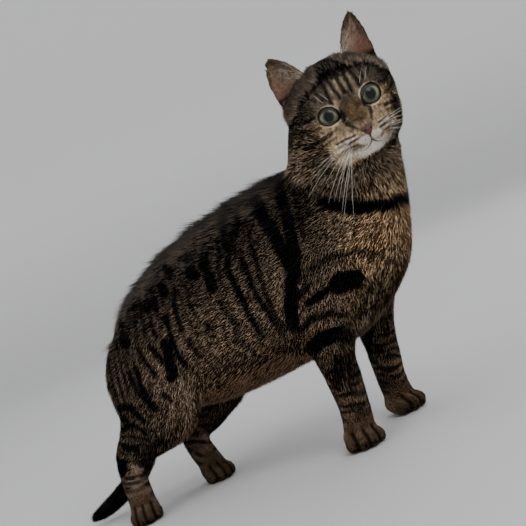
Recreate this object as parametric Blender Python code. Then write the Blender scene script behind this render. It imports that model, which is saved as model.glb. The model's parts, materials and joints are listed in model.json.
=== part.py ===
"""A domestic shorthair cat, life size, standing with its head turned to its right.

The cat faces +X, its left side is +Y, and it stands on the floor at z = 0. Rounded forms are laid
along a skeleton of named joints, blended into one skin, and parted by thin cuts into a named solid
for each part of the body. Run it with: blender --background --python part.py
"""

import math

import bmesh
import bpy
import numpy as np
from mathutils import Matrix, Vector
from mathutils.bvhtree import BVHTree

# Sizes shared by every part, in metres
GAP = 0.0003
VOXEL = 0.0014
RELAX_ROUNDS = 190
WHOLE_TRIANGLES = 6400
THIN_BIAS = 0.002
FLOOR_DEPTH = 0.05

# The trunk, as stations along X: (x, top of the back, underside, half width)
TRUNK = (
    (-0.146, 0.158, 0.110, 0.028),
    (-0.130, 0.180, 0.092, 0.045),
    (-0.105, 0.203, 0.080, 0.057),
    (-0.060, 0.226, 0.074, 0.064),
    (-0.015, 0.241, 0.077, 0.067),
    (0.030, 0.250, 0.083, 0.065),
    (0.070, 0.256, 0.087, 0.060),
    (0.100, 0.256, 0.094, 0.055),
    (0.126, 0.247, 0.108, 0.048),
    (0.146, 0.233, 0.130, 0.039),
    (0.160, 0.218, 0.160, 0.027),
)
BACK_PINCH = 0.12

# The neck, as stations from the chest up into the skull: (x, y, z, half length, half width)
NECK = (
    (0.1170, 0.000, 0.178, 0.0635, 0.0505),
    (0.1315, 0.000, 0.204, 0.0585, 0.0505),
    (0.1425, 0.001, 0.229, 0.0525, 0.0490),
    (0.1475, 0.003, 0.254, 0.0487, 0.0472),
    (0.1515, 0.004, 0.276, 0.0450, 0.0440),
)

# The head: its centre, its turn, and its forms in its own axes (forward, left, up)
HEAD_CENTRE = Vector((0.1644, 0.0022, 0.2804))
HEAD_HEADING = math.radians(-64.15)
HEAD_PITCH = math.radians(-3.4)
HEAD_ROLL = math.radians(5.9)
EYE_RADIUS = 0.0105
EYE = Vector((0.0250, 0.0172, 0.0034))
EYE_GAZE_OUT = math.radians(12.0)
LID_RADIUS = EYE_RADIUS + 0.0022
APERTURE = (0.0083, 0.0068)
APERTURE_TILT = math.radians(12.0)

# Each form is (centre, radii); those off the median plane are mirrored
HEAD_FORMS = (
    ((-0.0120, 0.0, 0.0110), (0.0460, 0.0420, 0.0390)),
    ((-0.0020, 0.0215, -0.0110), (0.0300, 0.0240, 0.0260)),
    ((0.0080, 0.0, 0.0200), (0.0290, 0.0240, 0.0225)),
    ((0.0130, 0.0170, 0.0180), (0.0245, 0.0235, 0.0205)),
    ((0.0150, 0.0240, -0.0090), (0.0205, 0.0170, 0.0165)),
    ((0.0060, 0.0285, 0.0010), (0.0220, 0.0165, 0.0180)),
    ((0.0275, 0.0125, -0.0095), (0.0150, 0.0100, 0.0115)),
    ((-0.0080, 0.0340, 0.0080), (0.0250, 0.0170, 0.0240)),
    ((0.0080, 0.0190, -0.0250), (0.0260, 0.0200, 0.0150)),
    ((0.0300, 0.0, -0.0225), (0.0225, 0.0220, 0.0150)),
    ((0.0395, 0.0100, -0.0262), (0.0138, 0.0122, 0.0092)),
    ((0.0180, 0.0, -0.0310), (0.0270, 0.0210, 0.0110)),
    ((0.0345, 0.0, -0.0368), (0.0120, 0.0115, 0.0068)),
)
BRIDGE = (
    (0.0180, 0.0, 0.0160, 0.0150, 0.0160),
    (0.0300, 0.0, 0.0020, 0.0125, 0.0135),
    (0.0400, 0.0, -0.0110, 0.0105, 0.0115),
    (0.0470, 0.0, -0.0190, 0.0075, 0.0088),
)
NOSE_PAD = ((0.0515, 0.0, -0.0195), (0.0050, 0.0066, 0.0042))
NOSTRIL = ((0.0555, 0.0036, -0.0206), (0.0030, 0.0016, 0.0013))

# The line of the mouth on one side, as (across, up) seen from the front, and the cleft above it
MOUTH_LINE = (
    (0.0, -0.0300),
    (0.0035, -0.0335),
    (0.0080, -0.0350),
    (0.0125, -0.0345),
    (0.0165, -0.0325),
)
CLEFT_LINE = ((0.0, -0.0235), (0.0, -0.0265), (0.0, -0.0300))
LIP_GROOVE = 0.0009

# Each ear in the head's axes: where its edges and tip stand on the left side, and its cup
EAR_INNER = Vector((0.0040, 0.0165, 0.0480))
EAR_OUTER = Vector((-0.0060, 0.0450, 0.0240))
EAR_TIP = {"right": Vector((-0.0120, 0.0408, 0.0730)), "left": Vector((-0.0120, 0.0458, 0.0762))}
EAR_INNER_EDGE = (1.8, 0.80, 0.0)
EAR_OUTER_EDGE = {"right": (3.0, 0.72, 0.08), "left": (2.3, 0.78, 0.20)}
EAR_SINK = 0.010
EAR_CUP = 0.0175
EAR_BACK = Vector((-0.86, -0.20, -0.30)).normalized()
EAR_THICKNESS = 0.0022
EAR_ROWS = 9
EAR_COLUMNS = 12

# The legs' joints, in the order that the flesh follows them
FORELEG = {
    "right": {
        "blade": Vector((0.078, -0.026, 0.216)),
        "shoulder": Vector((0.116, -0.036, 0.166)),
        "elbow": Vector((0.086, -0.046, 0.101)),
        "wrist": Vector((0.0715, -0.020, 0.034)),
        "ball": Vector((0.0690, -0.024, 0.013)),
        "heading": math.radians(-55.0),
    },
    "left": {
        "blade": Vector((0.078, 0.026, 0.216)),
        "shoulder": Vector((0.118, 0.036, 0.166)),
        "elbow": Vector((0.096, 0.047, 0.098)),
        "wrist": Vector((0.0860, 0.056, 0.034)),
        "ball": Vector((0.0870, 0.056, 0.013)),
        "heading": math.radians(-22.0),
    },
}
HINDLEG = {
    "right": {
        "hip": Vector((-0.100, -0.026, 0.158)),
        "knee": Vector((-0.080, -0.058, 0.092)),
        "hock": Vector((-0.165, -0.036, 0.058)),
        "ball": Vector((-0.1535, -0.060, 0.013)),
        "heading": math.radians(-61.0),
    },
    "left": {
        "hip": Vector((-0.100, 0.026, 0.158)),
        "knee": Vector((-0.078, 0.052, 0.090)),
        "hock": Vector((-0.129, 0.031, 0.046)),
        "ball": Vector((-0.110, 0.014, 0.013)),
        "heading": math.radians(-38.0),
    },
}

# Girths along the legs, as (half depth, half width)
BLADE_GIRTH = (0.030, 0.018)
SHOULDER_GIRTH = (0.036, 0.024)
UPPER_ARM_GIRTH = (0.031, 0.023)
ELBOW_GIRTH = (0.0230, 0.0200)
FOREARM_GIRTH = (0.0180, 0.0168)
WRIST_GIRTH = (0.0148, 0.0150)
PASTERN_GIRTH = (0.0145, 0.0155)
HIP_GIRTH = (0.044, 0.024)
THIGH_GIRTH = (0.047, 0.025)
KNEE_GIRTH = (0.029, 0.020)
SHANK_GIRTH = (0.022, 0.017)
HOCK_GIRTH = (0.0150, 0.0135)
INSTEP_GIRTH = (0.0130, 0.0140)
HAM_GIRTH = (0.041, 0.023)
CALF_GIRTH = (0.026, 0.019)

# The paws: (along the heading, across, half length, half width, half height) of each rounded form
PALM = (-0.0020, 0.0, 0.0165, 0.0165, 0.0120)
TOES = (
    (0.0080, -0.0132, 0.0100, 0.0053, 0.0080),
    (0.0145, -0.0047, 0.0105, 0.0053, 0.0088),
    (0.0145, 0.0047, 0.0105, 0.0053, 0.0088),
    (0.0080, 0.0132, 0.0100, 0.0053, 0.0080),
)
FORE_BREADTH = 1.05
HIND_BREADTH = 0.90
SOLE_SINK = 0.0012

# The tail's route from its root to its tip, with its radius at each point
TAIL = (
    (-0.122, 0.000, 0.168, 0.0165),
    (-0.149, 0.003, 0.156, 0.0150),
    (-0.171, 0.007, 0.133, 0.0134),
    (-0.177, 0.010, 0.104, 0.0125),
    (-0.172, 0.007, 0.076, 0.0120),
    (-0.167, 0.000, 0.0545, 0.0118),
    (-0.179, -0.006, 0.0375, 0.0115),
    (-0.201, -0.014, 0.0235, 0.0110),
    (-0.222, -0.024, 0.0135, 0.0098),
    (-0.240, -0.032, 0.0090, 0.0062),
)

# The shell that parts each thigh from the torso: (centre on the left, radii)
THIGH_SHELL = ((-0.1080, 0.0580, 0.1100), (0.0740, 0.0480, 0.0680))

# The plate under the jaw, in the head's axes: (centre, normal, radius)
HEAD_PLATE = ((-0.0065, -0.0110, -0.0358), (0.406, 0.214, 0.888), 0.078)

# The plates that part the body: (centre, normal, radius)
PLATES = {
    "neck from torso": ((0.1370, 0.0000, 0.2190), (0.515, 0.0, 0.857), 0.081),
    "tail base": ((-0.1720, 0.0075, 0.1280), (-0.25, 0.08, -0.96), 0.0195),
    "tail middle": ((-0.1750, 0.0087, 0.0900), (0.15, -0.05, -1.0), 0.019),
    "tail end": ((-0.1860, -0.0090, 0.0330), (-0.80, -0.28, -0.50), 0.018),
}

FUR_BROWN = (0.115, 0.082, 0.055)
EAR_TAN = (0.210, 0.130, 0.090)
EYE_GREEN = (0.170, 0.210, 0.110)

SIDES = {"right": -1.0, "left": 1.0}


def clear_scene():
    for obj in list(bpy.data.objects):
        bpy.data.objects.remove(obj)


def material(name, colour, roughness):
    made = bpy.data.materials.new(name)
    made.use_nodes = True
    shader = made.node_tree.nodes["Principled BSDF"]
    shader.inputs["Base Color"].default_value = (*colour, 1.0)
    shader.inputs["Roughness"].default_value = roughness
    shader.inputs["Metallic"].default_value = 0.0
    made.diffuse_color = (*colour, 1.0)
    return made


def link(name, mesh):
    obj = bpy.data.objects.new(name, mesh)
    bpy.context.scene.collection.objects.link(obj)
    return obj


def mesh_from(name, form):
    mesh = bpy.data.meshes.new(name)
    bmesh.ops.recalc_face_normals(form, faces=form.faces)
    form.to_mesh(mesh)
    form.free()
    return mesh


def evaluated_mesh(obj):
    """The mesh that an object's modifiers make, with the object itself removed."""
    graph = bpy.context.evaluated_depsgraph_get()
    mesh = bpy.data.meshes.new_from_object(obj.evaluated_get(graph))
    bpy.data.objects.remove(obj)
    return mesh


def catmull_rom(keys, steps):
    """Points on a smooth curve through the keys, with each key's extra values carried along."""
    keys = np.array(keys, float)
    ends = np.vstack([2 * keys[0] - keys[1], keys, 2 * keys[-1] - keys[-2]])
    made = []
    for i in range(1, len(ends) - 2):
        a, b, c, d = ends[i - 1 : i + 3]
        for t in np.arange(steps) / steps:
            bend = (2 * a - 5 * b + 4 * c - d) * t**2 + (3 * b - 3 * c + d - a) * t**3
            made.append(0.5 * (2 * b + (c - a) * t + bend))
    made.append(keys[-1])
    return np.array(made)


def add_rings(form, rings):
    """Skins a closed body over rings of points, with a fan at each end."""
    loops = [[form.verts.new(point) for point in ring] for ring in rings]
    count = len(loops[0])
    for lower, upper in zip(loops, loops[1:]):
        for i in range(count):
            j = (i + 1) % count
            form.faces.new((lower[i], lower[j], upper[j], upper[i]))
    for loop in (loops[0], loops[-1]):
        middle = form.verts.new(sum((v.co for v in loop), Vector()) / count)
        for i in range(count):
            form.faces.new((loop[i], loop[(i + 1) % count], middle))


def add_loft(form, keys, across, steps=5, sides=28, pinch=0.0):
    """A rounded body through keys of (x, y, z, half depth, half width), wide along across."""
    path = catmull_rom(keys, steps)
    rings = []
    for i, (x, y, z, depth, width) in enumerate(path):
        after, before = path[min(i + 1, len(path) - 1)][:3], path[max(i - 1, 0)][:3]
        along = Vector(after - before).normalized()
        side = (across - along * across.dot(along)).normalized()
        up = along.cross(side)
        ring = []
        for k in range(sides):
            angle = 2 * math.pi * k / sides
            reach = width * (1 - pinch * math.sin(angle))
            away = side * reach * math.cos(angle) + up * depth * math.sin(angle)
            ring.append(Vector((x, y, z)) + away)
        rings.append(ring)
    add_rings(form, rings)


def add_ellipsoid(form, centre, radii, turn=None, segments=28, rings=18):
    """An ellipsoid with its centre and radii in the axes of turn, a 4 x 4 matrix."""
    sized = Matrix.Translation(centre) @ Matrix.Diagonal((*radii, 1.0))
    place = (turn or Matrix.Identity(4)) @ sized
    bmesh.ops.create_uvsphere(form, u_segments=segments, v_segments=rings, radius=1.0, matrix=place)


def head_axes():
    """The matrix from the head's own axes to the model's."""
    turn = (
        Matrix.Rotation(HEAD_HEADING, 4, "Z")
        @ Matrix.Rotation(-HEAD_PITCH, 4, "Y")
        @ Matrix.Rotation(HEAD_ROLL, 4, "X")
    )
    return Matrix.Translation(HEAD_CENTRE) @ turn


def mirrored(point, side):
    return Vector((point[0], point[1] * SIDES[side], point[2]))


def eye_axes(side):
    """The matrix of one eye in the model's axes: +X is the way it looks, and Z is up the face."""
    turn = Matrix.Rotation(EYE_GAZE_OUT * SIDES[side], 4, "Z")
    turn = turn @ Matrix.Rotation(APERTURE_TILT * SIDES[side], 4, "X")
    return head_axes() @ Matrix.Translation(mirrored(EYE, side)) @ turn


def add_head(form):
    turn = head_axes()
    for centre, radii in HEAD_FORMS:
        add_ellipsoid(form, Vector(centre), radii, turn)
        if centre[1]:
            add_ellipsoid(form, mirrored(centre, "right"), radii, turn)
    bridge = bmesh.new()
    add_loft(bridge, BRIDGE, Vector((0.0, 1.0, 0.0)), steps=4, sides=20)
    bmesh.ops.transform(bridge, matrix=turn, verts=bridge.verts)
    add_form(form, bridge)
    for side in SIDES:
        radii = (LID_RADIUS, LID_RADIUS * 1.04, LID_RADIUS * 0.98)
        add_ellipsoid(form, Vector(), radii, eye_axes(side))


def add_nose(form):
    add_ellipsoid(form, Vector(NOSE_PAD[0]), NOSE_PAD[1], head_axes(), 20, 14)


def add_form(form, other):
    """Moves the other form's surface into this one."""
    mesh = bpy.data.meshes.new("Moved")
    other.to_mesh(mesh)
    other.free()
    form.from_mesh(mesh)
    bpy.data.meshes.remove(mesh)


def add_neck(form):
    add_loft(form, NECK, Vector((0.0, 1.0, 0.0)))


def add_trunk(form):
    keys = [(x, 0.0, (top + under) / 2, (top - under) / 2, width) for x, top, under, width in TRUNK]
    add_loft(form, keys, Vector((0.0, 1.0, 0.0)), sides=36, pinch=BACK_PINCH)


def limb_keys(points, girths):
    return [(*point, *girth) for point, girth in zip(points, girths)]


def paw_axes(ball, heading):
    return Matrix.Translation((ball.x, ball.y, 0.0)) @ Matrix.Rotation(heading, 4, "Z")


def add_paw(form, ball, heading, breadth):
    """A palm and four toes, whose soles reach a little under the floor, so that it cuts them flat."""
    turn = paw_axes(ball, heading)
    for along, across, length, width, height in (PALM, *TOES):
        centre = Vector((along, across * breadth, height - SOLE_SINK))
        add_ellipsoid(form, centre, (length, width * breadth, height), turn, 20, 14)


def add_foreleg(form, side):
    leg = FORELEG[side]
    upper_arm = leg["shoulder"].lerp(leg["elbow"], 0.5)
    forearm = leg["elbow"].lerp(leg["wrist"], 0.5)
    points = (
        leg["blade"],
        leg["shoulder"],
        upper_arm,
        leg["elbow"],
        forearm,
        leg["wrist"],
        leg["ball"],
    )
    girths = (
        BLADE_GIRTH,
        SHOULDER_GIRTH,
        UPPER_ARM_GIRTH,
        ELBOW_GIRTH,
        FOREARM_GIRTH,
        WRIST_GIRTH,
        PASTERN_GIRTH,
    )
    add_loft(form, limb_keys(points, girths), Vector((0.0, 1.0, 0.0)), steps=4)
    add_paw(form, leg["ball"], leg["heading"], FORE_BREADTH)


def add_hindleg(form, side):
    leg = HINDLEG[side]
    thigh = leg["hip"].lerp(leg["knee"], 0.55) + Vector((-0.014, 0.0, 0.0))
    shank = leg["knee"].lerp(leg["hock"], 0.60)
    points = (leg["hip"], thigh, leg["knee"], shank, leg["hock"], leg["ball"])
    girths = (HIP_GIRTH, THIGH_GIRTH, KNEE_GIRTH, SHANK_GIRTH, HOCK_GIRTH, INSTEP_GIRTH)
    add_loft(form, limb_keys(points, girths), Vector((0.0, 1.0, 0.0)), steps=4)
    calf = thigh.lerp(leg["hock"], 0.55) + Vector((0.006, 0.0, 0.002))
    back = (thigh + Vector((-0.006, 0.0, 0.002)), calf, leg["hock"])
    add_loft(form, limb_keys(back, (HAM_GIRTH, CALF_GIRTH, HOCK_GIRTH)), Vector((0.0, 1.0, 0.0)), steps=4)
    add_paw(form, leg["ball"], leg["heading"], HIND_BREADTH)


def add_tail(form):
    keys = [(x, y, z, radius, radius) for x, y, z, radius in TAIL]
    add_loft(form, keys, Vector((0.3, 1.0, 0.1)), sides=20)


def fused():
    """Every form of the cat but its ears and eyes, fused by a voxel remesh and relaxed."""
    form = bmesh.new()
    add_trunk(form)
    add_neck(form)
    add_head(form)
    add_nose(form)
    add_tail(form)
    for side in SIDES:
        add_foreleg(form, side)
        add_hindleg(form, side)
    obj = link("Whole", mesh_from("Whole", form))
    fuse = obj.modifiers.new("Fuse", "REMESH")
    fuse.mode = "VOXEL"
    fuse.voxel_size = VOXEL
    mesh = evaluated_mesh(obj)
    points = points_of(mesh)
    relax(mesh, points, RELAX_ROUNDS, softness(points))
    return mesh


def points_of(mesh):
    points = np.zeros(len(mesh.vertices) * 3)
    mesh.vertices.foreach_get("co", points)
    return points.reshape(-1, 3)


def relax(mesh, points, rounds, weight):
    """Draws each point towards its neighbours' mean, by its weight, in several rounds."""
    ends = np.zeros(len(mesh.edges) * 2, int)
    mesh.edges.foreach_get("vertices", ends)
    a, b = ends.reshape(-1, 2).T
    ends, others = np.concatenate([a, b]), np.concatenate([b, a])
    degree = np.bincount(ends, minlength=len(points))
    for _ in range(rounds):
        total = [np.bincount(ends, points[others, axis], len(points)) for axis in range(3)]
        points += (weight * 0.6)[:, None] * (np.stack(total, 1) / degree[:, None] - points)
    mesh.vertices.foreach_set("co", points.ravel())
    mesh.update()


def near(points, centre, reach):
    """1 at a centre, falling to 0 at its reach."""
    distance = np.linalg.norm(points - np.array(centre), axis=1)
    return np.clip(1.0 - distance / reach, 0.0, 1.0)


def softness(points):
    """How much each place is relaxed: most over the trunk, little on the limbs, least at toes and lids."""
    limbs = np.clip((points[:, 2] - 0.045) / 0.060, 0.0, 1.0) * 0.92 + 0.08
    tail = np.clip((points[:, 0] + 0.160) / 0.030, 0.0, 1.0) * 0.9 + 0.1
    soft = np.minimum(limbs, tail)
    turn = head_axes()
    head = np.clip(near(points, turn @ Vector((0.012, 0.0, 0.0)), 0.075) * 3.0, 0.0, 1.0)
    soft = soft * (1.0 - head) + 0.20 * head
    for side in SIDES:
        lids = np.clip(near(points, turn @ mirrored(EYE, side), 0.022) * 2.2, 0.0, 1.0)
        soft = soft * (1.0 - 0.70 * lids)
    nose = np.clip(near(points, turn @ Vector((0.054, 0.0, -0.0205)), 0.014) * 2.5, 0.0, 1.0)
    soft = soft * (1.0 - 0.85 * nose)
    for leg in (*FORELEG.values(), *HINDLEG.values()):
        centre = paw_axes(leg["ball"], leg["heading"]) @ Vector((0.008, 0.0, 0.0))
        paw = np.clip(near(points, centre, 0.032) * 2.4, 0.0, 1.0)
        soft = soft * (1.0 - 0.80 * paw)
    return soft


def fine_places(points):
    """How many triangles each place keeps, from the plain flank at 0 to the face at 1."""
    head = near(points, head_axes() @ Vector((0.024, 0.0, 0.0)), 0.060)
    legs = np.clip((0.080 - points[:, 2]) / 0.08, 0.0, 1.0) * 0.4
    return np.clip(np.maximum(head * 1.2, legs), 0.0, 1.0)


def thinned(name, mesh, triangles):
    """The mesh collapsed to about this many triangles, fewest over the plain parts of the body."""
    points = points_of(mesh)
    weights = fine_places(points)
    obj = link(name, mesh)
    group = obj.vertex_groups.new(name="Fine")
    for level in range(1, 11):
        chosen = np.nonzero(np.ceil(weights * 10) == level)[0]
        group.add(chosen.tolist(), level / 10, "REPLACE")
    thin = obj.modifiers.new("Thin", "DECIMATE")
    thin.use_collapse_triangulate = True
    thin.vertex_group = "Fine"
    thin.invert_vertex_group = True
    thin.vertex_group_factor = THIN_BIAS
    thin.ratio = triangles / sum(len(face.vertices) - 2 for face in mesh.polygons)
    return evaluated_mesh(obj)


def cutter(name, form, collection):
    obj = bpy.data.objects.new(name, mesh_from(name, form))
    collection.objects.link(obj)
    obj.hide_render = True
    obj.display_type = "WIRE"
    return obj


def plate(name, centre, normal, radius, collection):
    """A round plate one gap thick, which parts whatever passes through it."""
    turn = Vector(normal).normalized().to_track_quat("Z", "Y").to_matrix().to_4x4()
    place = Matrix.Translation(centre) @ turn
    form = bmesh.new()
    bmesh.ops.create_cone(
        form,
        cap_ends=True,
        segments=24,
        radius1=radius,
        radius2=radius,
        depth=GAP,
        matrix=place,
    )
    cutter(name, form, collection)


def shell(name, centre, radii, turn, collection):
    """A thin ellipsoid shell, which parts what it holds from what is round it."""
    form = bmesh.new()
    place = Matrix.Translation(centre) @ turn
    add_ellipsoid(form, Vector(), radii, place, 18, 11)
    bmesh.ops.recalc_face_normals(form, faces=form.faces)
    inner = bmesh.new()
    add_ellipsoid(inner, Vector(), [radius - GAP for radius in radii], place, 18, 11)
    bmesh.ops.recalc_face_normals(inner, faces=inner.faces)
    bmesh.ops.reverse_faces(inner, faces=inner.faces)
    add_form(form, inner)
    mesh = bpy.data.meshes.new(name)
    form.to_mesh(mesh)
    form.free()
    obj = bpy.data.objects.new(name, mesh)
    collection.objects.link(obj)
    obj.hide_render = True
    obj.display_type = "WIRE"


def along_turn(start, end):
    """The turn that lays the Z axis along a line, with X kept forward."""
    up = (end - start).normalized()
    left = up.cross(Vector((1.0, 0.0, 0.0))).normalized()
    turn = Matrix((left.cross(up), left, up)).transposed()
    return turn.to_4x4()


def cut(obj, collection):
    """Applies one Boolean difference with every cutter of the collection, and removes the cutters."""
    part = obj.modifiers.new("Part", "BOOLEAN")
    part.operation = "DIFFERENCE"
    part.operand_type = "COLLECTION"
    part.collection = collection
    part.solver = "EXACT"
    mesh = evaluated_mesh(obj)
    for tool in list(collection.objects):
        bpy.data.objects.remove(tool)
    bpy.data.collections.remove(collection)
    return mesh


def cut_collection(name):
    collection = bpy.data.collections.new(name)
    bpy.context.scene.collection.children.link(collection)
    return collection


def surface_line(tree, line, steps):
    """Points on the face's surface along a line given as (across, up), found by rays from the front."""
    turn = head_axes()
    direction = turn.to_3x3() @ Vector((-1.0, 0.0, 0.0))
    found = []
    for across, up in catmull_rom(line, steps):
        hit = tree.ray_cast(turn @ Vector((0.12, across, up)), direction)[0]
        found.append((*hit, LIP_GROOVE, LIP_GROOVE))
    return found


def add_face_cutters(whole, collection):
    form = bmesh.new()
    form.from_mesh(whole)
    tree = BVHTree.FromBMesh(form)
    form.free()
    across = head_axes().to_3x3() @ Vector((0.0, 0.0, 1.0))
    for side, sign in SIDES.items():
        socket = bmesh.new()
        add_ellipsoid(socket, Vector(), [EYE_RADIUS + GAP] * 3, eye_axes(side), 24, 16)
        cutter("Socket", socket, collection)
        add_aperture(eye_axes(side), sign, collection)
        nostril = bmesh.new()
        add_ellipsoid(nostril, mirrored(NOSTRIL[0], side), NOSTRIL[1], head_axes(), 12, 8)
        cutter("Nostril", nostril, collection)
        groove = bmesh.new()
        line = [(y * sign, z) for y, z in MOUTH_LINE]
        add_loft(groove, surface_line(tree, line, 3), across, steps=2, sides=8)
        cutter("Mouth", groove, collection)
    cleft = bmesh.new()
    sideways = head_axes().to_3x3() @ Vector((0.0, 1.0, 0.0))
    add_loft(cleft, surface_line(tree, CLEFT_LINE, 2), sideways, steps=2, sides=8)
    cutter("Cleft", cleft, collection)


def add_aperture(axes, sign, collection):
    """An almond prism from the socket out through the lid, drawn down to a point at the inner corner."""
    form = bmesh.new()
    rings = []
    for depth in (0.004, 0.020):
        ring = []
        for k in range(28):
            angle = 2 * math.pi * k / 28
            across = APERTURE[0] * math.cos(angle)
            up = APERTURE[1] * math.sin(angle) * abs(math.sin(angle)) ** 0.25
            inner = max(0.0, -across * sign / APERTURE[0])
            ring.append(axes @ Vector((depth, across, up - 0.0016 * inner**2)))
        rings.append(ring)
    add_rings(form, rings)
    cutter("Aperture", form, collection)


def add_limb_cutters(collection):
    turn = head_axes()
    centre, normal, radius = HEAD_PLATE
    plate("Head", turn @ Vector(centre), turn.to_3x3() @ Vector(normal), radius, collection)
    for name, (centre, normal, radius) in PLATES.items():
        plate(name, Vector(centre), normal, radius, collection)
    for side in SIDES:
        fore, hind = FORELEG[side], HINDLEG[side]
        sign = SIDES[side]
        arm = fore["shoulder"].lerp(fore["elbow"], 0.64) + Vector((0.0, 0.004 * sign, 0.0))
        turn = along_turn(fore["elbow"], fore["shoulder"])
        shell("Shoulder", arm, (0.045, 0.0415, 0.068), turn, collection)
        shell("Thigh", mirrored(THIGH_SHELL[0], side), THIGH_SHELL[1], Matrix(), collection)
        wrist = fore["wrist"]
        plate("Wrist", wrist, fore["elbow"] - wrist, 0.024, collection)
        hock = hind["hock"].lerp(hind["ball"], 0.40)
        plate("Hock", hock, hind["hock"] - hind["ball"], 0.021, collection)
    floor = bmesh.new()
    place = Matrix.Translation((0.0, 0.0, -FLOOR_DEPTH / 2)) @ Matrix.Diagonal((1.0, 1.0, FLOOR_DEPTH, 1.0))
    bmesh.ops.create_cube(floor, size=1.0, matrix=place)
    cutter("Floor", floor, collection)


def loose_parts(mesh):
    """The mesh's separate closed surfaces, each as its own mesh."""
    form = bmesh.new()
    form.from_mesh(mesh)
    bmesh.ops.triangulate(form, faces=form.faces)
    form.verts.index_update()
    seen, meshes = set(), []
    for seed in form.verts:
        if seed.index in seen:
            continue
        stack, found = [seed], []
        seen.add(seed.index)
        while stack:
            vertex = stack.pop()
            found.append(vertex)
            for edge in vertex.link_edges:
                other = edge.other_vert(vertex)
                if other.index not in seen:
                    seen.add(other.index)
                    stack.append(other)
        piece = bmesh.new()
        twin = {v.index: piece.verts.new(v.co) for v in sorted(found, key=lambda v: v.index)}
        faces = {face.index: face for v in found for face in v.link_faces}
        for index in sorted(faces):
            piece.faces.new([twin[v.index] for v in faces[index].verts])
        meshes.append(mesh_from("Piece", piece))
    form.free()
    return meshes


def tree_of(mesh):
    form = bmesh.new()
    form.from_mesh(mesh)
    size = abs(form.calc_volume())
    tree = BVHTree.FromBMesh(form)
    form.free()
    return tree, size


def holds(tree, point):
    """Whether the closed surface contains the point, by most of three rays' crossings."""
    inside = 0
    for away in ((0.31, 0.17, 0.94), (-0.52, 0.63, -0.58), (0.70, -0.66, 0.29)):
        direction = Vector(away).normalized()
        origin = Vector(point)
        crossings = 0
        while crossings < 64:
            hit = tree.ray_cast(origin, direction)[0]
            if hit is None:
                break
            crossings += 1
            origin = hit + direction * 2e-6
        inside += crossings % 2
    return inside >= 2


def seeds():
    """A point inside each part of the body."""
    turn = head_axes()
    found = {
        "torso": Vector((0.0, 0.0, 0.16)),
        "neck": Vector((0.148, 0.002, 0.238)),
        "head": turn @ Vector((0.0, 0.0, 0.0)),
        "tail_base": Vector(TAIL[3][:3]),
        "tail_middle": Vector(TAIL[5][:3]),
        "tail_end": Vector(TAIL[8][:3]),
    }
    for side in SIDES:
        fore, hind = FORELEG[side], HINDLEG[side]
        found["upper_arm_" + side] = fore["shoulder"].lerp(fore["elbow"], 0.5)
        found["forearm_" + side] = fore["elbow"].lerp(fore["wrist"], 0.75)
        found["forepaw_" + side] = fore["ball"]
        found["thigh_" + side] = hind["hip"].lerp(hind["knee"], 0.6)
        found["shank_" + side] = hind["knee"].lerp(hind["hock"], 0.92)
        found["hindfoot_" + side] = hind["ball"]
    return found


def finish_node(name, mesh, finish):
    obj = link(name, mesh)
    mesh.name = name
    mesh.materials.clear()
    mesh.materials.append(finish)
    mesh.shade_smooth()
    mesh.set_sharp_from_angle(angle=math.radians(40.0))
    return obj


def name_pieces(mesh, finish):
    """Names each loose part of the cut body by the seed point that it holds."""
    pieces = [(piece, *tree_of(piece)) for piece in loose_parts(mesh)]
    pieces.sort(key=lambda found: found[2])
    for name, point in seeds().items():
        for piece, tree, size in pieces:
            if size > 1e-7 and holds(tree, point):
                finish_node(name, piece, finish)
                break


def ear_point(side, along, around, outward):
    """A point of the ear: along from base to tip, around from the inner to the outer edge."""
    fade = (1.0 - along) ** 0.85
    middle = (EAR_INNER + EAR_OUTER) / 2
    power, ease, taper = EAR_INNER_EDGE if around < 0.5 else EAR_OUTER_EDGE[side]
    reach = (EAR_OUTER - EAR_INNER) / 2 * ((1.0 - along**power) ** ease - taper * fade)
    cup = math.sin(math.pi * around) ** 0.8
    point = middle.lerp(EAR_TIP[side], along) + reach * (2 * around - 1)
    point += EAR_BACK * (EAR_CUP * fade + 0.002 * along) * cup
    point += Vector((0.0, 0.0, -EAR_SINK)) * (1.0 - along)
    wall = EAR_THICKNESS * (0.45 + 0.55 * fade) if outward else 0.0
    edge = math.sin(math.pi * around) ** 0.5
    point += EAR_BACK * wall * edge + reach.normalized() * wall * (2 * around - 1) * (1.0 - edge)
    return mirrored(point, side)


def add_ear(form, side):
    """A closed cup, its inner and outer walls joined at the rim and under the base."""
    walls = []
    for outward in (False, True):
        wall = []
        for i in range(EAR_ROWS + 1):
            along = 0.985 * (i / EAR_ROWS) ** 0.9
            row = [ear_point(side, along, j / EAR_COLUMNS, outward) for j in range(EAR_COLUMNS + 1)]
            wall.append([form.verts.new(point) for point in row])
        walls.append(wall)
    inner, outer = walls
    for wall in walls:
        for i in range(EAR_ROWS):
            for j in range(EAR_COLUMNS):
                form.faces.new((wall[i][j], wall[i][j + 1], wall[i + 1][j + 1], wall[i + 1][j]))
    for i in range(EAR_ROWS):
        for j in (0, EAR_COLUMNS):
            form.faces.new((inner[i][j], inner[i + 1][j], outer[i + 1][j], outer[i][j]))
    for i in (0, EAR_ROWS):
        for j in range(EAR_COLUMNS):
            form.faces.new((inner[i][j], inner[i][j + 1], outer[i][j + 1], outer[i][j]))
    bmesh.ops.transform(form, matrix=head_axes(), verts=form.verts)


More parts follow.
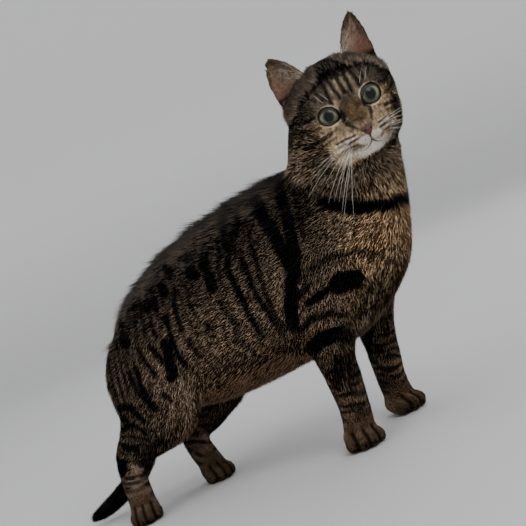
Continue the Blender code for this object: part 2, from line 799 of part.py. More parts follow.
def make_ears(whole, finish):
    """Each ear cut by the head's own surface, grown by one gap, so that it meets the head face to face."""
    for side in SIDES:
        grown = whole.copy()
        normals = np.array([v.normal for v in grown.vertices])
        points = points_of(grown) + normals * GAP
        grown.vertices.foreach_set("co", points.ravel())
        tools = cut_collection("Ear tools")
        base = bpy.data.objects.new("Grown head", grown)
        tools.objects.link(base)
        base.hide_render = True
        base.display_type = "WIRE"
        form = bmesh.new()
        add_ear(form, side)
        ear = link("Ear", mesh_from("Ear", form))
        pieces = [(tree_of(piece)[1], piece) for piece in loose_parts(cut(ear, tools))]
        finish_node("ear_" + side, max(pieces, key=lambda found: found[0])[1], finish)


def make_eyes(finish):
    for side in SIDES:
        form = bmesh.new()
        turn = eye_axes(side) @ Matrix.Rotation(math.radians(90.0), 4, "Y")
        add_ellipsoid(form, Vector(), [EYE_RADIUS] * 3, turn, 18, 12)
        finish_node("eye_" + side, mesh_from("eye_" + side, form), finish)


def centre_on_floor():
    """Moves the cat so that the middle of its bounding box's underside is the origin."""
    nodes = list(bpy.context.scene.collection.objects)
    points = np.concatenate([points_of(obj.data) for obj in nodes])
    low, high = points.min(axis=0), points.max(axis=0)
    shift = Vector((-(low[0] + high[0]) / 2, -(low[1] + high[1]) / 2, -low[2]))
    for obj in nodes:
        obj.data.transform(Matrix.Translation(shift))
        obj.data.update()


def main():
    clear_scene()
    fur = material("fur", FUR_BROWN, 0.85)
    tan = material("ear skin", EAR_TAN, 0.80)
    glass = material("eye glass", EYE_GREEN, 0.10)
    whole = thinned("Whole", fused(), WHOLE_TRIANGLES)
    make_ears(whole, tan)
    tools = cut_collection("Body tools")
    add_face_cutters(whole, tools)
    add_limb_cutters(tools)
    name_pieces(cut(link("Whole", whole), tools), fur)
    make_eyes(glass)
    centre_on_floor()


main()
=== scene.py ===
"""The looks of the standing tabby cat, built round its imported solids.

One skin, made from the solids of flesh, replaces them. Tufts of fur are laid over it, and the eyes,
lids, nose, lips and whiskers are set into it. Places are in the cat's own frame, in metres: it faces
+X, its left side is +Y and the floor is z = 0. The head has axes of its own: forward, left, up.
"""

import json
import math

import bmesh
import bpy
import numpy as np
from mathutils import Matrix, Vector
from mathutils.bvhtree import BVHTree
from mathutils.kdtree import KDTree

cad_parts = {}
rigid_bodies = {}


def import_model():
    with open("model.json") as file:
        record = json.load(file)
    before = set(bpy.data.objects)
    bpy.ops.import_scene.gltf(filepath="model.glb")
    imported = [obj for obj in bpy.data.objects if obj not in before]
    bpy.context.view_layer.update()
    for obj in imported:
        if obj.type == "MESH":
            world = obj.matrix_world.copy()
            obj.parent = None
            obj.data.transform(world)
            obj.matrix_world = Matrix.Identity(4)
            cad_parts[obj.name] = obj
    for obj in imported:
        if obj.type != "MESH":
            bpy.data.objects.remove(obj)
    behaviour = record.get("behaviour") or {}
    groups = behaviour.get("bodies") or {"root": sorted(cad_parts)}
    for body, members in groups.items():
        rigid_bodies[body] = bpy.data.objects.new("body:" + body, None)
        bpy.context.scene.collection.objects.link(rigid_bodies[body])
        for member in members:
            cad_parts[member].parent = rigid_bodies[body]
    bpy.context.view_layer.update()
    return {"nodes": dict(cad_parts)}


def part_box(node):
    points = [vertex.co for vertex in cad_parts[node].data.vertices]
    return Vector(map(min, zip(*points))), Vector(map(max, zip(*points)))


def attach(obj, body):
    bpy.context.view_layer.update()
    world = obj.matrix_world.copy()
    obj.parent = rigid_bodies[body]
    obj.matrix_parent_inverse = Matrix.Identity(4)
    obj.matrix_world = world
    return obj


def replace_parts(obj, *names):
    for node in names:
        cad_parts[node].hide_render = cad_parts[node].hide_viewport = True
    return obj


SIDES = {"right": -1.0, "left": 1.0}

# The head's place and turn, as the solids have them
HEAD_CENTRE = Vector((0.1644, 0.0022, 0.2804))
HEAD_HEADING = math.radians(-64.15)
HEAD_PITCH = math.radians(-3.4)
HEAD_ROLL = math.radians(5.9)
EYE = Vector((0.0250, 0.0172, 0.0034))
EYE_RADIUS = 0.0105
EYE_GAZE_OUT = math.radians(12.0)
APERTURE = (0.0083, 0.0068)
APERTURE_TILT = math.radians(12.0)
NOSE = Vector((0.0560, 0.0, -0.0190))

# How far each eye of the photograph is from the solid's, across the face, how much larger it is, and
# how far round it the skin moves along
EYE_MOVE = {"right": 0.0019, "left": 0.0002}
EYE_SCALE = {"right": 1.0, "left": 1.08}
EYE_REACH = 0.014

# The camera: where it stands, what it looks at, and how far it is rolled
CAMERA_PLACE = Vector((0.42283, -0.8287, 0.21989))
CAMERA_AHEAD = Vector((-0.42406, 0.90484, -0.03783))
CAMERA_RIGHT = Vector((0.83968, 0.37719, -0.39074))
CAMERA_LENS = 67.76
SENSOR = 36.0

# How far the solids grow to meet, the grain of the fused skin, and how often it is relaxed
GROW = 0.00035
VOXEL = 0.0013
RELAX_ROUNDS = 70

# One round of smoothing: how much a point keeps of its own value, and how much it takes of its
# neighbours' mean. Then the rounds for the coat's measures, and the last ones once the skin is sunk,
# with their weight against the part's own and its limit.
KEEP = 0.4
TAKE = 0.6
COAT_ROUNDS = 12
LAST_ROUNDS = 4
LAST_WEIGHT = 0.5
LAST_LIMIT = 0.3

# The coat of each part of the body: tuft length, width, lift in degrees, the skin's depth under the
# solid, how densely the tufts stand against the other parts, and how far the skin is relaxed
COAT = {
    "torso": (0.0054, 0.00048, 15.0, 0.0019, 1.50, 0.90),
    "neck": (0.0058, 0.00046, 15.0, 0.0019, 1.60, 0.70),
    "head": (0.0032, 0.00036, 14.0, 0.0009, 3.70, 0.16),
    "ear": (0.0017, 0.00034, 8.0, 0.0003, 3.20, 0.06),
    "upper_arm": (0.0050, 0.00048, 14.0, 0.0016, 1.70, 0.50),
    "forearm": (0.0036, 0.00044, 12.0, 0.0010, 2.30, 0.25),
    "forepaw": (0.0026, 0.00042, 11.0, 0.0006, 3.00, 0.08),
    "thigh": (0.0054, 0.00048, 15.0, 0.0019, 1.50, 0.70),
    "shank": (0.0040, 0.00046, 13.0, 0.0012, 2.10, 0.30),
    "hindfoot": (0.0026, 0.00042, 11.0, 0.0006, 2.80, 0.10),
    "tail": (0.0065, 0.00052, 16.0, 0.0020, 1.80, 0.25),
}

# How many roots are scattered, how many tufts a piece takes, a tuft's ridge against its width, how
# deep its root sinks, how far its ridge leans, and the breadth of its patch on the UV map
TUFTS = 485000
TUFTS_EACH = 58500
TUFT_RIDGE = 0.35
TUFT_SINK = 0.0004
TUFT_LEAN = 0.06
TUFT_PATCH = 0.003

# Where a tuft's own colour is read along it, the lowest root and tip, and the draws' seed
TUFT_MIDDLE = 0.40
LOWEST_ROOT = 0.0012
LOWEST_TIP = 0.0004
TUFT_SEED = 7

# How tufts vary: their turn on the skin, in radians, their length and width, their lift in degrees with
# its least and most in radians, and the lumps that turn, lift and shade them: (size, seed)
YAW = 0.15
YAW_LUMPS = 0.20
YAW_NOISE = (0.0065, 41)
LENGTHS = (0.75, 1.20)
WIDTHS = (0.75, 1.25)
LIFT = 4.5
LIFT_NOISE = (0.0065, 43)
LIFT_LIMITS = (0.03, 0.75)
SHADE_NOISE = (0.0026, 47)

# A tuft's width follows its length between these limits. On the back tufts ruffle: a lift in degrees,
# more of it by the lumps, and those lumps' own anywhere.
WIDTH_LIMITS = (0.6, 1.2)
RUFFLE = 5.0
RUFFLE_LUMPS = 9.0
LIFT_LUMPS = 3.0
LUMP_LIMITS = (-0.6, 1.0)

# At the foot of the ears tufts are longer, lift more, in radians, and vary more in shade
FOOT_LENGTH = 1.5
FOOT_LIFT = 0.30
FOOT_SHADE = 0.45

# The pale fringe of an ear's inner edge: the least share of ear and of facing forward, how far across
# and up it reaches, how many of the tufts there are in it, and how much longer and higher they stand
FRINGE_SHARE = 0.75
FRINGE_FACING = 0.1
FRINGE_ACROSS = -0.15
FRINGE_TOP = 0.55
FRINGE_CHANCE = 0.13
FRINGE_LENGTH = 4.6
FRINGE_LIFT = 0.16

# How tufts vary in shade, all over and more on the head's dark fur, and by the lumps. Then how far
# their normals spread: at random, to each side, and along the tuft.
SHADE = 0.16
SHADE_LUMPS = 0.22
NORMAL_SPREAD = 0.20
NORMAL_SIDES = 0.55
NORMAL_ALONG = 0.15

# The lie of the coat on each part: the way that its hairs point, on the right side
LIE = {
    "torso": (-1.0, 0.0, -0.30),
    "neck": (-0.35, 0.0, -1.0),
    "upper_arm": (-0.45, 0.0, -1.0),
    "forearm": (-0.15, 0.25, -1.0),
    "forepaw": (0.60, -0.80, -0.55),
    "thigh": (-0.55, 0.0, -0.85),
    "shank": (-0.85, 0.10, -0.55),
    "hindfoot": (0.40, -0.55, -0.80),
    "tail_base": (-0.45, 0.10, -0.90),
    "tail_middle": (0.10, -0.08, -1.0),
    "tail_end": (-0.85, -0.30, -0.40),
}

# On the head, hairs part at a place by the nose and lean back. On an ear they point up and out. Round
# an eye they point away from it, with a strength that falls off over a reach. Then it is all smoothed.
PARTING = (NOSE.x - 0.004, 0.0, NOSE.z + 0.004)
HEAD_LEAN = (-0.35, 0.0, 0.0)
EAR_LIE = (-0.25, 0.45, 0.85)
EYE_FLOW = 2.4
EYE_FLOW_REACH = 0.012
FLOW_ROUNDS = 12
FLOW_SMOOTHING = 2

# Bare places: how far past the eyeball and the lids' opening they reach, and the nose's, with its half
# sizes, its drop from the nose's middle, and how far forward it starts
EYE_CLEAR = 0.0002
LID_CLEAR = 0.0004
BARE_NOSE = (0.0052, 0.0040)
BARE_NOSE_DROP = 0.0024
BARE_NOSE_START = 0.045

# Colours of the coat and of bare skin, linear
GROUND = (0.470, 0.332, 0.224)
FACE_GROUND = (0.400, 0.290, 0.185)
BROW = (0.108, 0.083, 0.062)
BRIDGE = (0.105, 0.068, 0.034)
RUFOUS = (0.142, 0.077, 0.040)
TAN = (1.160, 0.800, 0.460)
CHEEK = (0.560, 0.400, 0.240)
STRAW = (0.680, 0.500, 0.320)
CREAM = (0.960, 0.880, 0.780)
GREY = (0.120, 0.088, 0.062)
TOE = (0.120, 0.072, 0.040)
BLACK = (0.006, 0.0055, 0.005)
EAR_TAN = (0.255, 0.170, 0.118)
EAR_PINK = (0.330, 0.160, 0.120)
EAR_PALE = (0.520, 0.415, 0.320)
LID_PALE = (0.900, 0.700, 0.520)

# The dark marks of the flank and legs, seen from the side: (strength, width, path), with width and
# the path's (x, z) in millimetres. Both sides carry them.
SIDE_MARKS = (
    (1.00, 10.0, ((63, 241), (74, 214), (82, 186), (82, 168), (73, 150), (63, 128))),
    (0.95, 9.0, ((88, 249), (93, 213), (91, 186), (83, 167))),
    (0.60, 3.0, ((95, 189), (92, 175), (87, 161))),
    (0.70, 3.5, ((103, 236), (104, 214), (103, 196))),
    (1.00, 4.5, ((86, 142), (104, 145), (118, 149))),
    (1.00, 14.0, ((119, 148), (131, 146))),
    (0.80, 3.5, ((78, 148), (86, 151), (92, 154))),
    (0.60, 4.0, ((98, 167), (122, 171), (141, 169), (154, 153))),
    (0.75, 4.5, ((66, 122), (84, 129), (103, 128), (114, 120))),
    (1.00, 12.0, ((73, 104), (88, 109), (104, 107))),
    (1.00, 9.0, ((104, 103), (109, 96))),
    (0.55, 4.0, ((64, 94), (78, 93))),
    (0.90, 5.5, ((89, 84), (82, 71), (75, 61))),
    (0.75, 4.5, ((90, 89), (93, 87))),
    (0.80, 4.5, ((92, 68), (94, 66))),
    (0.75, 4.0, ((96, 57), (98, 55))),
    (0.80, 4.0, ((84, 51), (88, 49))),
    (0.80, 4.0, ((91, 47), (93, 45))),
    (0.65, 2.2, ((58, 36), (75, 38), (98, 35))),
    (0.75, 2.4, ((57, 29), (74, 31), (99, 28))),
    (0.60, 2.2, ((58, 22), (76, 24), (98, 22))),
    (0.90, 5.5, ((43, 243), (42, 230), (41, 219))),
    (0.80, 4.0, ((43, 198), (45, 166), (50, 139), (49, 122))),
    (0.75, 3.2, ((55, 216), (54, 196), (53, 160), (54, 124))),
    (0.80, 3.4, ((35, 218), (37, 203))),
    (0.85, 4.6, ((26, 240), (30, 222), (31, 206), (27, 198), (29, 179), (32, 154), (34, 128))),
    (0.70, 3.0, ((22, 219), (23, 206))),
    (1.00, 9.0, ((4, 212), (4, 206))),
    (1.00, 10.0, ((6, 196), (7, 186))),
    (0.65, 5.0, ((10, 170), (14, 154), (17, 146), (10, 132))),
    (0.90, 8.0, ((-15, 218), (-14, 216))),
    (0.90, 9.0, ((-12, 204), (-8, 200))),
    (0.75, 3.2, ((-19, 190), (-21, 177), (-17, 166))),
    (0.60, 8.0, ((-10, 154), (-9, 148))),
    (0.80, 4.5, ((-33, 195), (-37, 184), (-36, 160))),
    (0.75, 3.5, ((-32, 149), (-30, 130))),
    (0.85, 7.0, ((-38, 213), (-36, 211))),
    (0.85, 7.5, ((-47, 200), (-45, 196))),
    (0.90, 4.5, ((-50, 175), (-51, 147), (-48, 128))),
    (0.95, 9.0, ((-59, 152), (-60, 140), (-64, 124))),
    (0.85, 8.0, ((-61, 192), (-60, 188))),
    (0.85, 8.0, ((-71, 192), (-70, 188))),
    (0.80, 4.5, ((-70, 173), (-67, 162))),
    (0.80, 4.5, ((-78, 156), (-68, 138))),
    (0.75, 3.8, ((-92, 157), (-87, 143), (-80, 129))),
    (0.90, 4.6, ((-101, 140), (-97, 124), (-92, 108))),
    (0.95, 5.5, ((-99, 118), (-89, 101))),
    (0.80, 4.0, ((-109, 138), (-102, 118))),
    (1.00, 5.5, ((-150, 108), (-134, 111), (-119, 108), (-111, 93))),
    (0.90, 9.0, ((-142, 100), (-137, 99))),
    (0.85, 10.0, ((-112, 169), (-106, 166))),
    (0.70, 3.5, ((-76, 111), (-72, 104))),
    (0.85, 4.5, ((-150, 89), (-128, 92), (-116, 80))),
    (0.90, 6.5, ((-156, 74), (-138, 68))),
    (1.00, 14.0, ((-176, 60), (-170, 54))),
    (0.75, 4.5, ((-122, 64), (-104, 70), (-92, 66))),
    (0.75, 2.0, ((-170, 40), (-146, 36))),
    (0.70, 2.0, ((-168, 33), (-142, 29))),
    (0.75, 3.0, ((-160, 22), (-136, 19))),
)

# The necklace and the marks of the neck, in the same way
NECK_MARKS = (
    (1.00, 9.0, ((130, 214), (150, 203), (172, 194), (192, 187))),
    (0.95, 9.0, ((146, 231), (153, 222))),
    (0.70, 4.0, ((104, 234), (114, 228))),
    (0.65, 5.0, ((103, 225), (114, 212))),
    (0.55, 4.0, ((118, 236), (128, 222))),
)

# The marks of the face, seen from the front: (strength, width, path), with the path's (across, up)
# in millimetres on each side of the middle
FACE_MARKS = (
    (0.96, 2.8, ((14.2, 9.5), (14.0, 20.0), (13.0, 28.0), (12.0, 38.0))),
    (0.92, 2.2, ((5.4, 12.5), (6.6, 20.0), (7.4, 27.0), (8.2, 38.0))),
    (0.90, 1.8, ((0.9, 14.0), (0.3, 20.0), (0.2, 32.0))),
    (0.80, 1.5, ((3.2, 29.0), (3.6, 38.0))),
    (0.80, 2.4, ((19.0, 18.0), (21.0, 24.0), (20.0, 34.0))),
    (0.70, 2.2, ((25.0, 19.0), (28.0, 24.0), (29.0, 31.0))),
    (0.95, 2.4, ((31.5, 8.6), (36.0, 7.4), (41.0, 8.6), (48.0, 13.0))),
    (0.75, 1.9, ((31.0, -1.5), (38.0, -0.5), (45.0, 3.0))),
    (0.88, 2.9, ((26.0, -10.5), (37.0, -11.7), (50.6, -10.6))),
    (0.60, 1.6, ((20.0, -8.6), (29.0, -9.4))),
    (0.60, 1.8, ((24.0, -15.0), (31.0, -15.6), (40.0, -18.0))),
    (0.65, 2.6, ((36.0, -24.0), (48.0, -20.0))),
    (0.95, 1.45, ((11.0, -20.6), (18.0, -20.1), (26.5, -20.3))),
    (0.95, 1.45, ((10.0, -24.2), (18.0, -23.8), (27.0, -23.8))),
    (0.85, 1.35, ((13.0, -28.2), (18.0, -27.8), (24.0, -28.2))),
    (1.00, 6.4, ((12.2, 2.0), (11.8, -1.5))),
    (0.98, 3.4, ((11.8, -2.0), (11.8, -6.5), (11.0, -10.5))),
    (0.90, 2.4, ((11.0, -10.5), (8.0, -15.2))),
    (0.60, 1.4, ((7.0, -16.4), (4.6, -17.8), (0.0, -17.2))),
)

# The light streaks of the face, in the same way: a colour, then strength, width and path
FACE_STREAKS = (
    (STRAW, (
        (0.34, 3.0, ((10.4, 9.0), (10.4, 12.0), (9.7, 20.0), (9.6, 26.0))),
        (0.40, 1.8, ((3.0, 16.0), (3.4, 27.0))),
        (0.55, 2.0, ((30.5, 3.2), (38.0, 3.6), (44.0, 6.0))),
        (0.55, 2.2, ((20.0, -12.0), (29.0, -12.6))),
    )),
    (CREAM, (
        (0.42, 1.4, ((10.0, -22.3), (18.0, -22.0), (28.0, -21.8))),
        (0.46, 1.6, ((9.0, -26.3), (18.0, -26.0), (29.0, -26.0))),
        (0.36, 1.0, ((12.0, -18.6), (26.0, -18.0))),
    )),
)

# Soft patches of the face, seen as the marks are: (colour, strength, centre, half sizes)
FACE_PATCHES = (
    (BRIDGE, 1.00, (0.0, -1.0), (12.0, 18.0)),
    (CHEEK, 0.45, (28.0, -7.0), (17.0, 10.0)),
    (CHEEK, 0.62, (28.0, -22.0), (22.0, 10.0)),
    (CREAM, 0.35, (22.0, -34.0), (14.0, 3.0)),
    (CREAM, 0.90, (5.0, -27.2), (6.6, 4.0)),
    (CREAM, 0.95, (0.0, -36.4), (18.0, 6.2)),
)

# The pale streak from the chest to the foreleg, seen from the side as the dark marks are
PALE_MARKS = (
    (0.95, 3.4, ((165, 156), (148, 134), (133, 122), (112, 104))),
)

# A stroke's half breadth is this share of its width, less the trim, plus its soft edge, in millimetres
STROKE_SHARE = 0.58
STROKE_TRIM = 0.6
SIDE_EDGE = 1.1
NECK_EDGE = 1.2
PALE_EDGE = 1.2
FACE_EDGE = 0.6
PATCH_EDGE = (1.15, 0.55)

# How far the marks wander, in millimetres, and how much of that the finer ones do
BODY_WANDER = 1.6
PALE_WANDER = 0.5
FACE_WANDER = 0.7
FACE_MARK_WANDER = 0.4

# The flank's bars, with their lean from a height, the rings of legs and tail, and the crown's bars
BAR_PITCH = 10.2
BAR_LEAN = 0.12
BAR_HEIGHT = 150.0
BAR_BEND = 7.0
RING_PITCH = 8.6
RING_LEAN = 0.25
RING_DRIFT = 2.4
TAIL_PITCH = 24.0
CROWN_PITCH = 6.6
BELLY_HEIGHT = 95.0

# How strongly the body takes its colours, and how dark its marks are: tan below and in front, rufous
# below, pale strokes, and the strokes, with how much they are pressed to full strength, what they keep
# where the skin doesn't face out, and what they lose below
UNDER_TAN = 0.30
FRONT_TAN = 0.8
MOST_TAN = 0.95
UNDER_RUFOUS = 0.98
PALE_STRENGTH = 0.9
STROKE_PRESS = 1.2
STROKE_LEAST = 0.65
UNDER_LOSS = 0.5
BAR_DARK = 0.45
RING_DARK = 0.92
TAIL_RING_DARK = 0.85
TOE_STRENGTH = 0.95

# The toes: half the middle pair's breadth, and how it widens forward from a place along the paw
TOE_HALF = 9.4
TOE_SPLAY = 0.10
TOE_START = 14.0

# An ear's base from its inner to its outer edge, its tip, and how its breadth falls off towards that
EAR_INNER = np.array((4.0, 16.5, 48.0))
EAR_OUTER = np.array((-6.0, 45.0, 24.0))
EAR_TIP = np.array((-12.0, 43.0, 74.6))
EAR_POWER = 2.4
EAR_EASE = 0.76
EAR_LEAST = 0.05

# The dark rim round an eye's opening, and the start, drop, slope, half height and taper of the wedge at
# its inner corner, in millimetres
RIM_BREADTH = 0.7
WEDGE = (7.0, 0.6, 0.30, 6.0, 0.95)

# The least share of the head or ear at which its colours count, and where blue says a colour is brown
LEAST_SHARE = 0.004
BROWN = (0.75, 0.50)
PALE = (0.55, 0.90)

# The lumps of the coat's noises: their size in millimetres, their seed, and how points are squeezed
EVEN = (1.0, 1.0, 1.0)
NOISES = {
    "wobble": (9.0, 3, EVEN),
    "drift": (14.0, 5, EVEN),
    "bar bend": (26.0, 13, EVEN),
    "bar breaks": (16.0, 15, (1.0, 1.0, 0.35)),
    "ring breaks": (8.0, 79, EVEN),
    "faint": (7.0, 11, (1.0, 1.0, 0.38)),
    "face wobble": (5.0, 21, EVEN),
    "face drift": (6.0, 23, EVEN),
    "speck": (2.3, 75, (0.7, 1.0, 0.7)),
    "mottle": (6.5, 29, (0.7, 0.7, 1.0)),
    "ticks": (3.0, 27, (0.6, 1.0, 0.6)),
    "face shade": (1.2, 71, (0.6, 1.0, 0.6)),
    "face grain": (1.5, 73, EVEN),
    "ear shade": (1.3, 69, EVEN),
    "ear pink": (4.0, 67, EVEN),
    "ear pale": (5.0, 63, EVEN),
    "ear mottle": (1.7, 61, EVEN),
    "ear edge": (3.0, 77, EVEN),
}

# Where the coat's colours and lengths lie: each a product, in order, of strengths and of smooth ramps,
# (measure, where it is 0, where it is 1). The tufts' are in metres and the rest in millimetres.
ZONES = {
    "under": (("up", -0.1, -0.8), ("from_belly", 70.0, 40.0)),
    "chest": (("ahead", 0.15, 0.65), ("x", 104.0, 135.0), ("z", 95.0, 120.0)),
    "front": (("x", 118.0, 160.0), ("z", 100.0, 130.0), ("side", 60.0, 20.0)),
    "shoulder": (0.35, ("z", 190.0, 215.0), ("x", 92.0, 115.0)),
    "inner leg": (("inwards", 0.2, 0.9), ("z", 95.0, 60.0), 0.45),
    "foot": (("z", 60.0, 8.0), 0.20),
    "neck shade": (0.66, ("z", 195.0, 215.0), ("x", 92.0, 115.0)),
    "flank light": (0.20, ("x", 70.0, 40.0), ("x", -70.0, -40.0)),
    # Painted shade over the rump
    "rump shade": (0.25, ("x", -60.0, -110.0)),
    "grey": (("up", -0.2, 0.6), ("z", 130.0, 180.0), ("x", 140.0, 110.0)),
    "ridge": (("up", 0.35, 0.95), ("from_ridge", 46.0, 20.0), ("z", 150.0, 170.0), 0.90),
    "back": (0.25, ("up", 0.3, 0.9), ("z", 135.0, 165.0)),
    "outer": (("out", 0.2, 0.6), 0.35),
    "bars": (("bars", 0.0, 0.7), ("bar_breaks", -0.6, 0.2), ("x", 66.0, 50.0), ("z", 100.0, 120.0)),
    "upper": (("z", 175.0, 192.0),),
    "rump": (("x", -58.0, -78.0),),
    "rings": (("rings", -0.1, 0.6), ("ring_breaks", -0.7, 0.0)),
    "legs": (("z", 96.0, 80.0), ("z", 16.0, 22.0)),
    "forelegs": (("x", 52.0, 60.0),),
    "hind legs": (("x", -96.0, -104.0),),
    "faint": (("faint", 0.25, 0.75), 0.25),
    "above knees": (("z", 70.0, 110.0),),
    "paw": (("across", 23.0, 20.0), ("z", 34.0, 30.0), ("along", 30.0, 27.0)),
    "toes": (("along", -2.0, 8.0),),
    "toe gap": (("gap", 2.3, 0.9), ("along", 3.0, 8.0)),
    "groove": (("z", 21.0, 17.0),),
    "tail": (("x", -146.0, -154.0), ("z", 176.0, 168.0)),
    "hanging": (("x", -158.0, -166.0), ("z", 60.0, 66.0)),
    "tail rings": (("rings", 0.15, 0.75),),
    "tail end": (("end", -172.0, -184.0), ("z", 46.0, 38.0), 0.97),
    "face": (("x", -8.0, 8.0),),
    "brow": (("brow", 2.0, 15.0), 0.92),
    # Painted shade on the throat under the chin
    "throat": (("z", -38.0, -48.0), 0.9),
    "face marks": (("x", -14.0, 0.0),),
    "crown bars": (("crown_bars", 0.1, 0.7), ("x", 4.0, -8.0)),
    "crown": (("crown", 22.0, 40.0),),
    "mid crown": (("side", 30.0, 17.0),),
    "speck": (("speck", -0.20, 0.30),),
    "mottle": (("mottle", -0.1, 0.7), ("x", 12.0, -4.0), 0.60),
    "nape": (("x", -16.0, -34.0), ("side", 30.0, 12.0), 0.85),
    "ticks": (("ticks", 0.2, 0.8), 0.40),
    "ear foot": (("ear_up", -0.40, -0.10), ("ear_across", 1.5, 1.0)),
    "lid": (("ring", 1.07, 1.12), ("ring", 1.30, 1.18), ("ahead", -2.0, 4.0), ("inner", 11.5, 8.0)),
    "rim": (("ahead", -2.0, 4.0), ("ring", 1.10, 1.02)),
    "wedge": (("ahead", -2.0, 4.0), ("wedge", 0.6, -0.6), ("inner", 5.0, 7.0), ("inner", 14.5, 13.0)),
    "ear": (("share", 0.25, 0.75), ("up", 0.04, 0.20)),
    "ear cup": (("facing", -0.1, 0.35), ("share", 0.55, 0.95)),
    "ear pink": (("pink", 0.0, 0.45), ("up", 0.70, 0.35)),
    "ear pale": (("pale", 0.55, 0.10), ("up", 0.75, 0.35)),
    "ear mottle": (("mottle", -0.2, 0.6),),
    "ear inner": (("across", 0.35, -0.4),),
    "ear rim": (("edge", 0.78, 1.0), 0.45),
    # Painted shade deep in the ear's cup, darkest at its base
    "ear deep": (("up", 0.42, 0.0), 0.78),
    "ear tip": (("up", 0.75, 1.0), 0.30),
    "tuft foot": (("up", -0.55, -0.25), ("up", 0.20, 0.0), ("edge", 1.35, 1.1)),
    "tuft ruffle": (("up", 0.25, 0.80), ("z", 0.15, 0.18)),
    "long belly": (("up", -0.2, -0.9), ("z", 0.125, 0.100), ("z", 0.055, 0.070)),
    "long chest": (("ahead", 0.2, 0.8), ("x", 0.110, 0.140)),
    "long back": (("up", 0.50, 0.88), ("z", 0.13, 0.16)),
    "short front": (("x", 0.018, 0.045),),
    "long cheek": (("side", 0.026, 0.044), ("z", 0.010, -0.015)),
    "long crown": (("z", 0.026, 0.036),),
    "long throat": (("z", -0.036, -0.046),),
}


def smooth(low, high, values):
    """0 at low, 1 at high, with an easy rise between them. High may be the smaller of the two."""
    share = np.clip((values - low) / (high - low), 0.0, 1.0)
    return share * share * (3.0 - 2.0 * share)


def unit(vectors):
    return vectors / np.maximum(np.linalg.norm(vectors, axis=1, keepdims=True), 1e-9)


def tangent(vectors, normals):
    """The vectors laid flat on the surface."""
    return unit(vectors - normals * (vectors * normals).sum(1, keepdims=True))


def noise(points, size, seed):
    """Smooth noise from -1 to 1 at each point, in lumps of about this size."""
    scaled = points / size
    cell = np.floor(scaled).astype(np.int64)
    part = scaled - cell
    part = part * part * (3.0 - 2.0 * part)
    total = np.zeros(len(points))
    for corner in range(8):
        step = np.array([corner & 1, corner >> 1 & 1, corner >> 2 & 1])
        at = (cell + step) * (73856093, 19349663, 83492791)
        mixed = (at[:, 0] ^ at[:, 1] ^ at[:, 2] ^ (seed * 2654435761)) & 0xFFFFFFFF
        mixed = (mixed ^ (mixed >> 13)) * 1274126177 & 0xFFFFFFFF
        mixed = (mixed ^ (mixed >> 16)) & 0xFFFFFF
        weight = np.prod(np.where(step == 1, part, 1.0 - part), axis=1)
        total += weight * (mixed / 0x7FFFFF - 1.0)
    return total


def lumps(mm, name):
    """The named noise at each point, in millimetres."""
    size, seed, squeeze = NOISES[name]
    return noise(mm * squeeze, size, seed)


def zones_by(**measures):
    """A reader that says how far each place is in a named zone, by these measures of the places."""

    def zone(name):
        found = 1.0
        for step in ZONES[name]:
            found = found * (step if isinstance(step, float) else smooth(*step[1:], measures[step[0]]))
        return found

    return zone


def wave(values, pitch):
    return np.sin(values / pitch * 2.0 * math.pi)


def head_axes():
    turn = (
        Matrix.Rotation(HEAD_HEADING, 4, "Z")
        @ Matrix.Rotation(-HEAD_PITCH, 4, "Y")
        @ Matrix.Rotation(HEAD_ROLL, 4, "X")
    )
    return Matrix.Translation(HEAD_CENTRE) @ turn


def eye_axes(side):
    """One eye's axes: +X leaves through the middle of its opening, and Z is up the face."""
    turn = Matrix.Rotation(EYE_GAZE_OUT * SIDES[side], 4, "Z")
    turn = turn @ Matrix.Rotation(APERTURE_TILT * SIDES[side], 4, "X")
    return head_axes() @ Matrix.Translation(on_side(EYE, side)) @ turn


def seen_eye(side):
    """The eye's axes where the photograph has it, scaled to its size there."""
    out = head_axes().to_3x3() @ Vector((0.0, EYE_MOVE[side] * SIDES[side], 0.0))
    return Matrix.Translation(out) @ eye_axes(side) @ Matrix.Scale(EYE_SCALE[side], 4)


def fit_eyes(points):
    """Draws the skin round each eye along with it."""
    for side in SIDES:
        middle = eye_axes(side) @ Vector((EYE_RADIUS, 0.0, 0.0))
        moved = seen_eye(side) @ Vector((EYE_RADIUS, 0.0, 0.0))
        away = points - np.array(middle)
        pull = np.exp(-((np.linalg.norm(away, axis=1) / EYE_REACH) ** 4))[:, None]
        points += pull * (np.array(moved - middle) + away * (EYE_SCALE[side] - 1.0))


def on_side(point, side):
    return Vector((point[0], point[1] * SIDES[side], point[2]))


def in_eye(points, side):
    """Points as arrays in one eye's own axes."""
    turn = np.array(seen_eye(side).inverted())
    return points @ turn[:3, :3].T + turn[:3, 3]


def in_head(points):
    """Points as arrays in the head's own axes."""
    turn = np.array(head_axes())
    return (points - turn[:3, 3]) @ turn[:3, :3]


